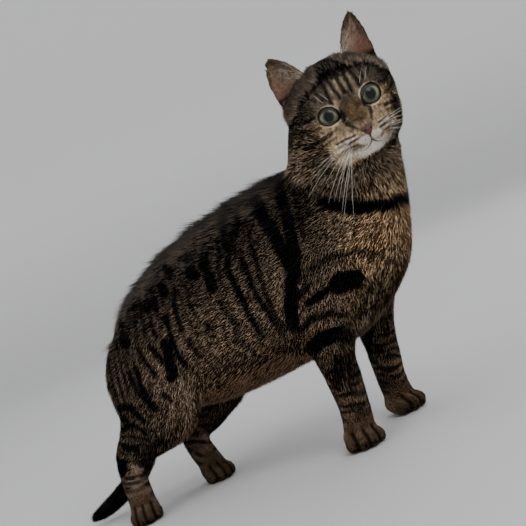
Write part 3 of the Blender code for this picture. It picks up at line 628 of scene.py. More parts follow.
class Surface:
    """A mesh as arrays, with its neighbours at hand for smoothing."""

    def __init__(self, mesh):
        count = len(mesh.vertices)
        self.points = np.zeros(count * 3)
        mesh.vertices.foreach_get("co", self.points)
        self.points = self.points.reshape(-1, 3)
        ends = np.zeros(len(mesh.edges) * 2, int)
        mesh.edges.foreach_get("vertices", ends)
        a, b = ends.reshape(-1, 2).T
        near, far = np.concatenate([a, b]), np.concatenate([b, a])
        order = np.argsort(near, kind="stable")
        self.far = far[order]
        self.degree = np.bincount(near, minlength=count)
        self.start = np.concatenate([[0], np.cumsum(self.degree)[:-1]])
        self.mesh = mesh

    def mean(self, values):
        return np.add.reduceat(values[self.far], self.start, axis=0) / self.degree[:, None]

    def smoothed(self, values, rounds):
        """Values at each point drawn towards its neighbours' mean."""
        values = values.reshape(len(values), -1).astype(float)
        for _ in range(rounds):
            values = KEEP * values + TAKE * self.mean(values)
        return values

    def relax(self, rounds, weight):
        for _ in range(rounds):
            self.points += (TAKE * weight)[:, None] * (self.mean(self.points) - self.points)
        self.store()

    def store(self):
        self.mesh.vertices.foreach_set("co", self.points.ravel())
        self.mesh.update()

    def normals(self):
        found = np.zeros(len(self.points) * 3)
        self.mesh.vertices.foreach_get("normal", found)
        return unit(found.reshape(-1, 3))

    def triangles(self):
        self.mesh.calc_loop_triangles()
        found = np.zeros(len(self.mesh.loop_triangles) * 3, int)
        self.mesh.loop_triangles.foreach_get("vertices", found)
        return found.reshape(-1, 3)


def part_of(node):
    """The row of COAT that a node takes: its name without its side."""
    return "tail" if node.startswith("tail") else node.replace("_right", "").replace("_left", "")


def joined_flesh(nodes, shift):
    """The flesh solids in one mesh, each a little grown, so that they reach into one another."""
    form = bmesh.new()
    for obj in nodes:
        piece = bmesh.new()
        piece.from_mesh(obj.data)
        bmesh.ops.remove_doubles(piece, verts=piece.verts, dist=1e-6)
        piece.normal_update()
        moves = [v.normal * GROW - shift for v in piece.verts]
        for vertex, move in zip(piece.verts, moves):
            vertex.co += move
        mesh = bpy.data.meshes.new("Grown")
        piece.to_mesh(mesh)
        piece.free()
        form.from_mesh(mesh)
        bpy.data.meshes.remove(mesh)
    mesh = bpy.data.meshes.new("Flesh")
    form.to_mesh(mesh)
    form.free()
    return mesh


def make_skin(nodes, shift):
    """The solids of flesh fused into one smooth skin that lies under them by the coat's depth."""
    obj = bpy.data.objects.new("skin", joined_flesh(nodes, shift))
    bpy.context.scene.collection.objects.link(obj)
    fuse = obj.modifiers.new("Fuse", "REMESH")
    fuse.mode = "VOXEL"
    fuse.voxel_size = VOXEL
    graph = bpy.context.evaluated_depsgraph_get()
    mesh = bpy.data.meshes.new_from_object(obj.evaluated_get(graph))
    bpy.data.objects.remove(obj)
    mesh.name = "skin"
    surface = Surface(mesh)
    names = [node.name for node in nodes]
    owner = owners(surface.points, nodes, shift)
    rows = np.array([COAT[part_of(name)] for name in names])[owner]
    rows = surface.smoothed(rows, COAT_ROUNDS)
    surface.relax(RELAX_ROUNDS, rows[:, 5])
    fit_eyes(surface.points)
    surface.store()
    depth = (rows[:, 3] + GROW)[:, None]
    surface.points -= surface.normals() * depth
    surface.store()
    surface.relax(LAST_ROUNDS, np.minimum(rows[:, 5] * LAST_WEIGHT, LAST_LIMIT))
    return surface, owner, names, rows


def owners(points, nodes, shift):
    """The index of the node nearest to each point."""
    sizes = [len(node.data.vertices) for node in nodes]
    tree = KDTree(sum(sizes))
    for index, node in enumerate(nodes):
        for vertex in node.data.vertices:
            tree.insert(vertex.co - shift, index)
    tree.balance()
    return np.array([tree.find(point)[1] for point in points])


def lie_of_coat(surface, owner, names):
    """The way that the hairs point at each place: by part, then smoothed over the skin."""
    points, normals = surface.points, surface.normals()
    turn = np.array(head_axes())
    local = in_head(points)
    flow = np.zeros_like(points)
    for index, name in enumerate(names):
        here = owner == index
        side = 1.0 if name.endswith("left") else -1.0
        if name == "head":
            away = unit(local[here] - np.array(PARTING)) + HEAD_LEAN
            flow[here] = away @ turn[:3, :3].T
        elif name.startswith("ear"):
            flow[here] = turn[:3, :3] @ np.array((EAR_LIE[0], EAR_LIE[1] * side, EAR_LIE[2]))
        else:
            row = LIE.get(name) or LIE[part_of(name)]
            flow[here] = np.array((row[0], -row[1] * side if "paw" not in name else row[1], row[2]))
    for side in SIDES:
        centre = seen_eye(side) @ Vector((EYE_RADIUS, 0.0, 0.0))
        away = points - np.array(centre)
        reach = np.linalg.norm(away, axis=1)
        flow += unit(away) * (EYE_FLOW * np.exp(-((reach / EYE_FLOW_REACH) ** 2)))[:, None]
    flow = tangent(flow, normals)
    for _ in range(FLOW_ROUNDS):
        flow = tangent(surface.smoothed(flow, FLOW_SMOOTHING), normals)
    return flow


def stroke(x, z, path, width, edge):
    """How strongly a stroke along the path marks each place: 1 on it, 0 beyond its soft edge."""
    nearest = np.full(len(x), np.inf)
    for (x0, z0), (x1, z1) in zip(path, path[1:]):
        dx, dz = x1 - x0, z1 - z0
        share = np.clip(((x - x0) * dx + (z - z0) * dz) / (dx * dx + dz * dz), 0.0, 1.0)
        nearest = np.minimum(nearest, np.hypot(x - x0 - share * dx, z - z0 - share * dz))
    half = width * STROKE_SHARE + edge - STROKE_TRIM
    return smooth(half + edge, half - edge, nearest)


def marks(x, z, table, edge):
    """The strongest of a table's strokes at each place."""
    found = np.zeros(len(x))
    for strength, width, path in table:
        found = np.maximum(found, strength * stroke(x, z, path, width, edge))
    return found


def mixed(colours, other, share):
    return colours + (np.array(other) - colours) * np.clip(share, 0.0, 1.0)[:, None]


def body_colour(points, normals):
    """The coat behind the head: dark back, barred flanks and legs, tan chest and belly."""
    mm = points * 1000.0
    x, y, z = mm.T
    wobble, drift = (lumps(mm, name) * BODY_WANDER for name in ("wobble", "drift"))
    zone = zones_by(
        x=x,
        z=z,
        side=np.abs(y),
        ahead=normals[:, 0],
        out=np.abs(normals[:, 1]),
        up=normals[:, 2],
        inwards=-normals[:, 1] * np.sign(y),
        from_belly=np.abs(z - BELLY_HEIGHT),
        from_ridge=np.abs(y) + wobble * 2.0,
        bars=wave(x + BAR_LEAN * (z - BAR_HEIGHT) + lumps(mm, "bar bend") * BAR_BEND, BAR_PITCH),
        bar_breaks=lumps(mm, "bar breaks"),
        rings=wave(z + RING_LEAN * x + drift * RING_DRIFT, RING_PITCH),
        ring_breaks=lumps(mm, "ring breaks"),
        faint=lumps(mm, "faint"),
    )
    under, chest = zone("under"), zone("chest")
    front = np.maximum(zone("front"), zone("shoulder"))
    colours = np.tile(np.array(GROUND), (len(points), 1))
    tan = np.maximum(under * UNDER_TAN, np.maximum(chest, front * FRONT_TAN)) * MOST_TAN
    colours = mixed(colours, TAN, tan)
    colours = mixed(colours, RUFOUS, under * UNDER_RUFOUS + zone("inner leg") + zone("foot"))
    colours *= (1.0 - zone("neck shade"))[:, None]
    # The flank's middle made lighter, and painted shade over the rump
    colours *= (1.0 + zone("flank light") - zone("rump shade"))[:, None]
    colours = mixed(colours, GREY, zone("grey"))
    dark = np.maximum(zone("ridge"), zone("back"))
    strokes = np.minimum(marks(x + wobble, z + drift, SIDE_MARKS, SIDE_EDGE) * STROKE_PRESS, 1.0)
    dark = np.maximum(dark, (zone("outer") + STROKE_LEAST) * strokes * (1.0 - UNDER_LOSS * under))
    dark = np.maximum(dark, marks(x + wobble, z + drift, NECK_MARKS, NECK_EDGE))
    pale = marks(x + wobble * PALE_WANDER, z + drift * PALE_WANDER, PALE_MARKS, PALE_EDGE)
    colours = mixed(colours, STRAW, pale * PALE_STRENGTH)
    dark = dark * (1.0 - pale)
    upper = np.maximum(zone("upper"), zone("rump"))
    dark = np.maximum(dark, zone("bars") * (BAR_DARK + BAR_DARK * upper))
    legs = zone("legs") * np.maximum(zone("forelegs"), zone("hind legs"))
    dark = np.maximum(dark, zone("rings") * legs * RING_DARK)
    dark = np.maximum(dark, zone("faint") * (1.0 - chest) * zone("above knees"))
    dark = np.maximum(dark, tail_dark(mm))
    toe, groove = toe_marks(points)
    colours = mixed(colours, TOE, toe * TOE_STRENGTH)
    dark = np.maximum(dark * (1.0 - toe), groove * TOE_STRENGTH)
    return mixed(colours, BLACK, dark), dark


# Each paw: the ball of its foot, its heading and its breadth
PAWS = (
    (0.0690, -0.0240, math.radians(-55.0), 1.05),
    (0.0870, 0.0560, math.radians(-22.0), 1.05),
    (-0.1535, -0.0600, math.radians(-61.0), 0.90),
    (-0.1100, 0.0140, math.radians(-38.0), 0.90),
)


def toe_marks(points):
    """How far each place is a toe, and how far it is the dark groove between two toes."""
    toe, groove = np.zeros(len(points)), np.zeros(len(points))
    for x, y, heading, breadth in PAWS:
        away = (points[:, :2] - (x, y)) * 1000.0
        along = away @ (math.cos(heading), math.sin(heading))
        across = np.abs(away @ (-math.sin(heading), math.cos(heading))) / breadth
        gap = np.minimum(np.abs(across), np.abs(across - TOE_HALF - TOE_SPLAY * (along - TOE_START)))
        zone = zones_by(along=along, across=across, z=points[:, 2] * 1000.0, gap=gap)
        near = zone("paw")
        toe = np.maximum(toe, near * zone("toes"))
        groove = np.maximum(groove, near * zone("toe gap") * zone("groove"))
    return toe, groove


def tail_dark(mm):
    """Rings round the tail, and its black end."""
    x, _, z = mm.T
    zone = zones_by(x=x, z=z, rings=wave(z, TAIL_PITCH), end=x + (z - 30.0) * 0.3)
    rings = zone("tail rings") * zone("hanging") * zone("tail")
    return np.maximum(rings * TAIL_RING_DARK, zone("tail end"))


def face_colour(points):
    """The coat of the head, from its front view on both sides, with painted shade on the throat under the
    chin.
    """
    mm = in_head(points) * 1000.0
    x, y, z = mm.T
    side = np.abs(y)
    wobble, drift = (lumps(mm, name) * FACE_WANDER for name in ("face wobble", "face drift"))
    up, across = ear_places(points)
    zone = zones_by(
        x=x,
        z=z,
        side=side,
        brow=z + drift * 2.0,
        crown=z + drift * 4.0 + wobble * 4.0,
        crown_bars=wave(side + wobble, CROWN_PITCH),
        speck=lumps(mm, "speck"),
        mottle=lumps(mm, "mottle"),
        ticks=lumps(mm, "ticks"),
        ear_up=up,
        ear_across=np.abs(across),
    )
    colours = np.tile(np.array(FACE_GROUND), (len(points), 1))
    face = zone("face")
    for colour, strength, (middle, height), (wide, high) in FACE_PATCHES:
        reach = np.hypot((side - middle + wobble) / wide, (z - height + drift) / high)
        colours = mixed(colours, colour, strength * face * smooth(*PATCH_EDGE, reach))
    colours = mixed(colours, BROW, zone("brow"))
    places = side + wobble * FACE_MARK_WANDER, z + drift * FACE_MARK_WANDER
    pale = np.zeros(len(points))
    for colour, table in FACE_STREAKS:
        here = marks(*places, table, FACE_EDGE) * face
        colours = mixed(colours, colour, here)
        pale = np.maximum(pale, here)
    # Painted shade under the chin: the throat darkened towards a dim ground colour
    colours = mixed(colours, np.array(GROUND) * 0.40, zone("throat"))
    dark = marks(*places, FACE_MARKS, FACE_EDGE) * zone("face marks")
    speck = zone("speck")
    crown = zone("crown") * (0.20 + 0.25 * zone("crown bars") + 0.45 * speck)
    dark = np.maximum(dark, crown * (0.5 + 0.5 * zone("mid crown")))
    dark = np.maximum(np.maximum(dark, zone("mottle")), zone("nape"))
    brown = smooth(*BROWN, colours[:, 2])
    dark = np.maximum(dark, zone("ticks") * (1.0 - pale) * brown)
    colours *= np.exp(0.80 * lumps(mm, "face shade") * brown)[:, None]
    foot = zone("ear foot")
    colours = mixed(colours, RUFOUS, foot * 0.5)
    dark = np.maximum(dark, foot * (0.70 + 0.28 * speck))
    dark = np.clip(dark * (0.96 + 0.38 * lumps(mm, "face grain")), 0.0, 1.0)
    for name in SIDES:
        colours, dark = round_eye(points, name, colours, dark)
    return mixed(colours, BLACK, dark), dark


def round_eye(points, side, colours, dark):
    """The pale line and the dark rim round one eye, and the dark wedge at its inner corner."""
    ahead, across, up = (in_eye(points, side) * 1000.0).T
    wide, high = (half * 1000.0 + RIM_BREADTH for half in APERTURE)
    inner = -across * SIDES[side]
    start, drop, slope, tall, taper = WEDGE
    wedge = np.abs(up + drop + slope * (inner - start)) - tall + (inner - start) * taper
    zone = zones_by(ahead=ahead, ring=np.hypot(across / wide, up / high), inner=inner, wedge=wedge)
    lit = np.clip(0.12 + 0.085 * inner + 0.055 * np.abs(up), 0.0, 0.80) * zone("lid")
    dark = np.maximum(dark * (1.0 - lit), zone("rim"))
    return mixed(colours, LID_PALE, lit), np.maximum(dark, zone("wedge"))


def ear_places(points):
    """How far up its ear each point is, and how far across it: -1 at the inner edge, 1 at the outer."""
    local = in_head(points) * 1000.0
    local[:, 1] = np.abs(local[:, 1])
    middle, reach = (EAR_INNER + EAR_OUTER) / 2, (EAR_OUTER - EAR_INNER) / 2
    rise = EAR_TIP - middle
    up = (local - middle) @ rise / (rise @ rise)
    wide = np.maximum(1.0 - np.clip(up, 0.0, 1.0) ** EAR_POWER, EAR_LEAST) ** EAR_EASE
    across = (local - middle - up[:, None] * rise) @ reach / (reach @ reach) / wide
    return up, across


def ear_colour(points, normals, share):
    """The ears: brown-grey behind, and inside the cup tan, with pink skin and pale hairs, and painted shade
    deep in the cup towards its base.
    """
    mm = in_head(points) * 1000.0
    up, across = ear_places(points)
    zone = zones_by(
        facing=(normals @ np.array(head_axes())[:3, :3])[:, 0],
        share=share,
        up=up,
        across=across,
        edge=np.abs(across),
        pink=across + lumps(mm, "ear pink") * 0.3,
        pale=np.abs(across + 0.10 + lumps(mm, "ear pale") * 0.25),
        mottle=lumps(mm, "ear mottle"),
    )
    inside = zone("ear cup")
    colours = np.tile(np.array(FACE_GROUND) * 0.70, (len(points), 1))
    colours = mixed(colours, EAR_TAN, inside * 0.95)
    colours *= np.exp(0.70 * lumps(mm, "ear shade"))[:, None]
    colours = mixed(colours, EAR_PINK, inside * zone("ear pink") * 0.85)
    colours = mixed(colours, EAR_PALE, inside * zone("ear pale") * 0.45)
    mottle = zone("ear mottle") * (0.40 + 0.40 * zone("ear inner"))
    # The cup's dark: its mottle, its rim, and painted shade deep down towards its base
    cup = np.maximum(np.maximum(mottle, zone("ear rim")), zone("ear deep"))
    dark = np.maximum((1.0 - inside) * 0.62 + inside * cup, zone("ear tip"))
    return mixed(colours, BLACK, dark * 0.85), dark


def coat_colour(points, normals, share):
    """Colour, and how banded the hairs are, where share says how far each place is head and ear."""
    colours, dark = body_colour(points, normals)

    def lay(chosen, found, weight):
        colours[chosen] += (found[0] - colours[chosen]) * weight[:, None]
        dark[chosen] += (found[1] - dark[chosen]) * weight

    near = share.sum(1)
    head = np.nonzero(near > LEAST_SHARE)[0]
    lay(head, face_colour(points[head]), smooth(0.0, 1.0, near[head]))
    ear = np.nonzero(share[:, 1] > LEAST_SHARE)[0]
    up = ear_places(points[ear])[0] + 0.10 * lumps(points[ear] * 1000.0, "ear edge")
    weight = zones_by(share=share[ear, 1], up=up)("ear")
    lay(ear, ear_colour(points[ear], normals[ear], share[ear, 1]), weight)
    pale = smooth(*PALE, colours[:, 2])
    return colours, np.clip((1.0 - dark) * (1.0 - pale), 0.0, 1.0)


def store_colour(mesh, colours, banded):
    found = mesh.attributes.new("Coat", "FLOAT_COLOR", "POINT")
    found.data.foreach_set("color", np.column_stack([colours, banded]).astype(np.float32).ravel())


def bare(points, local):
    """Where no tuft grows: the eyeballs, the openings of the lids and the nose's leather."""
    found = np.zeros(len(points), bool)
    wide, high = (half + LID_CLEAR for half in APERTURE)
    for side in SIDES:
        seen = in_eye(points, side)
        found |= np.linalg.norm(seen, axis=1) < EYE_RADIUS + EYE_CLEAR
        found |= (np.hypot(seen[:, 1] / wide, seen[:, 2] / high) < 1.0) & (seen[:, 0] > 0.0)
    across, up = local[:, 1] / BARE_NOSE[0], (local[:, 2] - NOSE.z + BARE_NOSE_DROP) / BARE_NOSE[1]
    found |= (np.hypot(across, up) < 1.0) & (local[:, 0] > BARE_NOSE_START)
    return found


class Atlas:
    """An unwrap of the skin: each part of the body is unrolled round its length into its own place."""

    # Where a part starts in its place and how much of it the part takes, round and along
    ROUND = (0.02, 0.96)
    ALONG = (0.03, 0.94)
    # Each row of places: its height on the map, and its parts
    ROWS = (
        (0.36, ("torso",)),
        (0.22, ("head", "neck")),
        (0.16, ("thigh_right", "thigh_left", "upper_arm_right", "upper_arm_left")),
        (0.13, ("ear_right", "ear_left", "tail_base", "tail_middle", "tail_end")),
        (0.13, ("forearm_right", "forearm_left", "shank_right", "shank_left")
         + ("forepaw_right", "forepaw_left", "hindfoot_right", "hindfoot_left")),
    )

    def __init__(self, shift):
        self.places = {}
        low = 0.0
        for height, nodes in self.ROWS:
            for index, node in enumerate(nodes):
                corner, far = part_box(node)
                size = far - corner
                along = max(range(3), key=lambda axis: size[axis])
                middle = np.array((corner + far) / 2 - shift)
                width = 1.0 / len(nodes)
                place = (index * width, low, width, height)
                self.places[node] = (along, middle, size[along], place)
            low += height

    def at(self, points, owner, names):
        uv = np.zeros((len(points), 2))
        for index, name in enumerate(names):
            here = owner == index
            along, middle, length, (left, low, width, height) = self.places[name]
            local = points[here] - middle
            a, b = [axis for axis in range(3) if axis != along]
            turn = np.arctan2(local[:, a], local[:, b]) / (2 * math.pi) + 0.5
            share = np.clip(local[:, along] / length + 0.5, 0.0, 1.0)
            uv[here, 0] = left + width * (self.ROUND[0] + self.ROUND[1] * turn)
            uv[here, 1] = low + height * (self.ALONG[0] + self.ALONG[1] * share)
        return uv


def scattered(surface, rows, count, rng):
    """Roots spread over the skin by each part's density: triangles, and places in them."""
    triangles = surface.triangles()
    corners = surface.points[triangles]
    area = np.linalg.norm(np.cross(corners[:, 1] - corners[:, 0], corners[:, 2] - corners[:, 0]), axis=1)
    share = np.cumsum(area * rows[triangles, 4].mean(1))
    chosen = (np.arange(count) + rng.random(count)) / count * share[-1]
    found = np.minimum(np.searchsorted(share, chosen), len(triangles) - 1)
    a, b = rng.random(count), rng.random(count)
    flip = a + b > 1.0
    a[flip], b[flip] = 1.0 - a[flip], 1.0 - b[flip]
    return triangles[found], np.stack([1.0 - a - b, a, b], axis=1)


def spread(values, corners, weights):
    """Values of the skin's points, read at the roots."""
    return (values[corners] * weights.reshape(len(weights), 3, 1)).sum(1)


def make_tufts(surface, owner, names, rows, shares, atlas):
    """Every tuft of the coat, as arrays: points, colours, how banded, normals, UV and a random value."""
    rng = np.random.default_rng(TUFT_SEED)
    corners, weights = scattered(surface, rows, TUFTS, rng)
    flow = lie_of_coat(surface, owner, names)
    normals = unit(spread(surface.normals(), corners, weights))
    roots = spread(surface.points, corners, weights)
    local = in_head(roots)
    keep = ~bare(roots, local) & (roots[:, 2] > LOWEST_ROOT)
    corners, weights, normals, roots, local = (v[keep] for v in (corners, weights, normals, roots, local))
    coat = spread(rows, corners, weights)
    share = spread(shares, corners, weights)
    count = len(roots)
    lie = tangent(spread(flow, corners, weights), normals)
    yaw = (rng.normal(0.0, YAW, count) + YAW_LUMPS * noise(roots, *YAW_NOISE))[:, None]
    lie = lie * np.cos(yaw) + np.cross(normals, lie) * np.sin(yaw)
    length = coat[:, 0] * longer(roots, normals, share, rng) * rng.uniform(*LENGTHS, count)
    up, side = ear_places(roots)
    zone = zones_by(up=up, edge=np.abs(side))
    foot = zone("tuft foot")
    length *= near_face(local, share, foot) * (1.0 + FOOT_LENGTH * foot * share[:, 1])
    foot = foot * share.sum(1)
    width = coat[:, 1] * rng.uniform(*WIDTHS, count) * np.clip(length / coat[:, 0], *WIDTH_LIMITS)
    ruffle = zones_by(up=normals[:, 2], z=roots[:, 2])("tuft ruffle") * (1.0 - share.sum(1))
    bumps = noise(roots, *LIFT_NOISE).clip(*LUMP_LIMITS)
    ruffle = RUFFLE * ruffle + (RUFFLE_LUMPS * ruffle + LIFT_LUMPS) * bumps
    lift = np.radians(coat[:, 2] + ruffle + rng.normal(0.0, LIFT, count)).clip(*LIFT_LIMITS)
    chance = rng.random(count)
    lift += foot * FOOT_LIFT
    facing = normals @ np.array(head_axes())[:3, 0]
    fringe = (share[:, 1] > FRINGE_SHARE) & (facing > FRINGE_FACING) & (chance < FRINGE_CHANCE)
    fringe &= (side < FRINGE_ACROSS) & (up < FRINGE_TOP)
    length[fringe] *= FRINGE_LENGTH / (1.0 + FOOT_LENGTH * foot[fringe])
    lift[fringe] += FRINGE_LIFT
    points, middle, across = tuft_points(roots, normals, lie, length, width, lift)
    middle_colour, middle_banded = coat_colour(middle, normals, share)
    tip_colour, tip_banded = coat_colour(points[:, 3], normals, share)
    colours = np.stack([middle_colour] * 3 + [tip_colour], axis=1)
    banded = np.stack([middle_banded] * 3 + [tip_banded], axis=1)
    colours[fringe] = EAR_PALE
    banded[fringe] = 0.0
    light = smooth(0.5, 0.9, tip_colour[:, 2])
    shade = SHADE + SHADE * share[:, 0] * (1.0 - light) + FOOT_SHADE * foot
    shade = rng.normal(0.0, 1.0, count) * shade - SHADE_LUMPS * noise(roots, *SHADE_NOISE)
    colours *= np.exp(shade)[:, None, None]
    lean = across[:, None, :] * np.array((-NORMAL_SIDES, 0.0, NORMAL_SIDES, 0.0))[:, None]
    tilt = unit(normals + rng.normal(0.0, NORMAL_SPREAD, (count, 3)))[:, None, :]
    tilt = tilt + lean + (lie * NORMAL_ALONG)[:, None, :]
    half = TUFT_PATCH / 2
    uv = atlas.at(roots, owner[corners[:, 0]], names)[:, None, :]
    uv = uv + np.array([(-half, -half), (0.0, -half), (half, -half), (0.0, half)])
    return points, colours, banded, tilt, uv, chance


def tuft_points(roots, normals, lie, length, width, lift):
    """Each tuft's left, ridge, right and tip, a place part way along it, and the way across it."""
    away = lie * np.cos(lift)[:, None] + normals * np.sin(lift)[:, None]
    across = np.cross(normals, lie)
    base = roots - normals * TUFT_SINK
    left = base - across * (width / 2)[:, None]
    right = base + across * (width / 2)[:, None]
    ridge = base + normals * (width * TUFT_RIDGE)[:, None] + lie * (length * TUFT_LEAN)[:, None]
    tip = roots + away * length[:, None]
    tip[:, 2] = np.maximum(tip[:, 2], LOWEST_TIP)
    return np.stack([left, ridge, right, tip], axis=1), roots + away * (length * TUFT_MIDDLE)[:, None], across


def longer(roots, normals, share, rng):
    """How much longer than its part's measure each tuft is: on the belly, chest and back."""
    zone = zones_by(x=roots[:, 0], z=roots[:, 2], ahead=normals[:, 0], up=normals[:, 2])
    guard = rng.random(len(roots)) ** 3
    long = 0.90 * zone("long belly") + 0.30 * zone("long chest") + (0.45 + 2.4 * guard) * zone("long back")
    return 1.0 + (1.0 - np.clip(share.sum(1), 0.0, 1.0)) * long


def near_face(local, share, foot):
    """Shorter hairs on the front of the face, longer on the cheeks, crown, throat and ears' feet."""
    zone = zones_by(x=local[:, 0], side=np.abs(local[:, 1]), z=local[:, 2])
    throat = zone("long throat")
    extra = np.maximum(zone("long cheek") * 0.9, throat * 1.1)
    extra = np.maximum(extra, np.maximum(foot * 1.5, zone("long crown") * 0.7))
    return 1.0 + share[:, 0] * (extra - zone("short front") * 0.45 * (1.0 - throat))


def build_coat(surface, owner, names, rows, shares, atlas, finish, shift):
    """The tufts in several pieces, each a mesh of three-sided tufts that taper to a point."""
    points, colours, banded, normals, uv, chance = make_tufts(surface, owner, names, rows, shares, atlas)
    for index, start in enumerate(range(0, len(points), TUFTS_EACH)):
        chosen = slice(start, start + TUFTS_EACH)
        count = len(points[chosen])
        name = f"coat_{index + 1}"
        mesh = bpy.data.meshes.new(name)
        base = np.arange(count)[:, None, None] * 4
        faces = (base + np.array([(0, 1, 3), (1, 2, 3), (2, 0, 3)])).reshape(-1)
        mesh.vertices.add(count * 4)
        mesh.vertices.foreach_set("co", (points[chosen] + np.array(shift)).astype(np.float32).ravel())
        mesh.loops.add(count * 9)
        mesh.loops.foreach_set("vertex_index", faces.astype(np.int32))
        mesh.polygons.add(count * 3)
        mesh.polygons.foreach_set("loop_start", np.arange(0, count * 9, 3, dtype=np.int32))
        mesh.update(calc_edges=True)
        mesh.shade_smooth()
        store_colour(mesh, colours[chosen].reshape(-1, 3), banded[chosen].reshape(-1))
        store_value(mesh, "Along", np.tile(np.array((0, 0, 0, 1), np.float32), count))
        store_value(mesh, "Chance", np.repeat(chance[chosen], 4).astype(np.float32))
        layer = mesh.uv_layers.new(name="OFBake")
        layer.data.foreach_set("uv", uv[chosen].reshape(-1, 2)[faces].astype(np.float32).ravel())
        set_normals(mesh, unit(normals[chosen].reshape(-1, 3)))
        mesh.materials.append(finish)
        place(name, mesh, "coat")


def store_value(mesh, name, values):
    found = mesh.attributes.new(name, "FLOAT", "POINT")
    found.data.foreach_set("value", values)


def set_normals(mesh, normals):
    found = mesh.attributes.new("custom_normal", "FLOAT_VECTOR", "POINT")
    found.data.foreach_set("vector", normals.astype(np.float32).ravel())


def add_object(name, data):
    obj = bpy.data.objects.new(name, data)
    bpy.context.scene.collection.objects.link(obj)
    return obj


def place(name, mesh, slot):
    """A finished piece, in the scene and on the cat."""
    obj = add_object(name, mesh)
    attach(obj, "root")
    return obj


def smooth_mesh(form, name):
    """The form as a new mesh, shaded smooth."""
    mesh = bpy.data.meshes.new(name)
    form.to_mesh(mesh)
    form.free()
    mesh.shade_smooth()
    return mesh


def grid_mesh(name, rows, closed, shift):
    """A mesh over rows of points, each row closed round if asked."""
    form = bmesh.new()
    loops = [[form.verts.new(Vector(point) + shift) for point in row] for row in rows]
    for lower, upper in zip(loops, loops[1:]):
        for i in range(len(lower) - (0 if closed else 1)):
            j = (i + 1) % len(lower)
            form.faces.new((lower[i], lower[j], upper[j], upper[i]))
    if closed:
        for loop in (loops[0], loops[-1]):
            form.faces.new(loop)
    bmesh.ops.recalc_face_normals(form, faces=form.faces)
    return smooth_mesh(form, name)


def tube_rows(path, radii, sides):
    """Rings round a path, each with its own radius."""
    rings = []
    for i, (point, radius) in enumerate(zip(path, radii)):
        ahead = path[min(i + 1, len(path) - 1)] - path[max(i - 1, 0)]
        ahead = ahead.normalized()
        side = ahead.cross(Vector((0.31, 0.52, 0.80))).normalized()
        up = ahead.cross(side)
        turns = [2 * math.pi * k / sides for k in range(sides)]
        rings.append([point + side * radius * math.cos(t) + up * radius * math.sin(t) for t in turns])
    return rings


def joined(name, meshes):
    form = bmesh.new()
    for mesh in meshes:
        form.from_mesh(mesh)
        bpy.data.meshes.remove(mesh)
    return smooth_mesh(form, name)


# An eyeball's mesh: its rings and sides, where the first ring lies and how far round the rings go, as
# shares of a half turn, how they crowd to the front, and how high and how wide the cornea bulges
EYE_RINGS = 56
EYE_SIDES = 72
EYE_POLE = 0.004
EYE_ROUND = 0.99
EYE_CROWD = 1.35
CORNEA_RISE = 0.045
CORNEA_ANGLE = 0.62
FIBRE_SEED = 31

# How far an eye turns to the camera, the pupil's half sizes, the iris's reach, and where its back begins
GAZE_SHARE = 0.22
PUPIL = (0.0040, 0.0045)
IRIS_REACH = 0.0087
IRIS_BACK = 1.3
PUPIL_BLACK = np.array((0.004, 0.005, 0.005))
IRIS_DARK = np.array((0.050, 0.064, 0.036))
IRIS_PALE = np.array((0.205, 0.215, 0.130))
EYE_BACK = np.array((0.02, 0.015, 0.012))


def gaze(side):
    """The axes of an eyeball that turns a little from its opening's middle towards the camera."""
    axes = seen_eye(side)
    ahead = (axes.to_3x3() @ Vector((1.0, 0.0, 0.0))).normalized()
    ahead = ahead.lerp((CAMERA_PLACE - axes.translation).normalized(), GAZE_SHARE).normalized()
    up = head_axes().to_3x3() @ Vector((0.0, 0.0, 1.0))
    left = up.cross(ahead).normalized()
    turn = Matrix((ahead, left, ahead.cross(left))).transposed()
    return Matrix.Translation(axes.translation) @ turn.to_4x4() @ Matrix.Scale(EYE_SCALE[side], 4)


def make_eye(side, finish, shift):
    """An eyeball with a bulging cornea, and its iris and oval pupil by rings round the way it looks."""
    axes = gaze(side)
    rows, colours = [], []
    fibre = np.random.default_rng(FIBRE_SEED).normal(0.0, 1.0, EYE_SIDES)
    for i in range(EYE_RINGS):
        polar = math.pi * (EYE_POLE + EYE_ROUND * (i / (EYE_RINGS - 1)) ** EYE_CROWD)
        bulge = 1.0 + CORNEA_RISE * math.exp(-((polar / CORNEA_ANGLE) ** 4))
        row = []
        for k in range(EYE_SIDES):
            turn = 2 * math.pi * k / EYE_SIDES
            across, up = math.sin(polar) * math.cos(turn), math.sin(polar) * math.sin(turn)
            local = Vector((math.cos(polar), across, up)) * EYE_RADIUS * bulge
            row.append(axes @ local)
            colours.append(iris_colour(local.y, local.z, fibre[k], polar))
        rows.append(row)
    mesh = grid_mesh("eyeball_" + side, rows, True, shift)
    store_colour(mesh, np.array(colours), np.ones(len(colours)))
    mesh.materials.append(finish)
    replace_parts(place("eyeball_" + side, mesh, "eye"), "eye_" + side)


def eased(low, high, value):
    """smooth for a single number."""
    return float(smooth(low, high, np.array(value)))


def iris_colour(across, up, fibre, polar):
    """Pale grey-green round a wide dark pupil, darker at its rim, flecked along its fibres, with a painted
    shadow of the upper lid over its top.
    """
    if polar > IRIS_BACK:
        return EYE_BACK
    pupil = math.hypot(across / PUPIL[0], up / PUPIL[1])
    rim = eased(0.88, 1.0, math.hypot(across, up) / IRIS_REACH)
    inner = eased(1.05, 1.45, pupil)
    base = IRIS_DARK * (1 - inner) + IRIS_PALE * inner
    base = base * (1.0 + 0.12 * fibre * eased(1.0, 1.6, pupil))
    # Darker at the rim, and a painted shadow of the upper lid darkening the top of the iris
    base = base * (1 - 0.88 * rim) * (1.0 - 0.45 * eased(0.0015, 0.0065, up))
    shown = eased(0.80, 1.14, pupil)
    return np.clip(PUPIL_BLACK * (1 - shown) + base * shown, 0.0, 1.0)


# The opening's edge: its corner's reach, its lower and upper heights, and the corner's drop
CORNER_REACH = 0.20
LOWER_HEIGHT = 0.87
UPPER_HEIGHT = 0.78
CORNER_DROP = 0.0021
OPENING_RISE = 0.0004

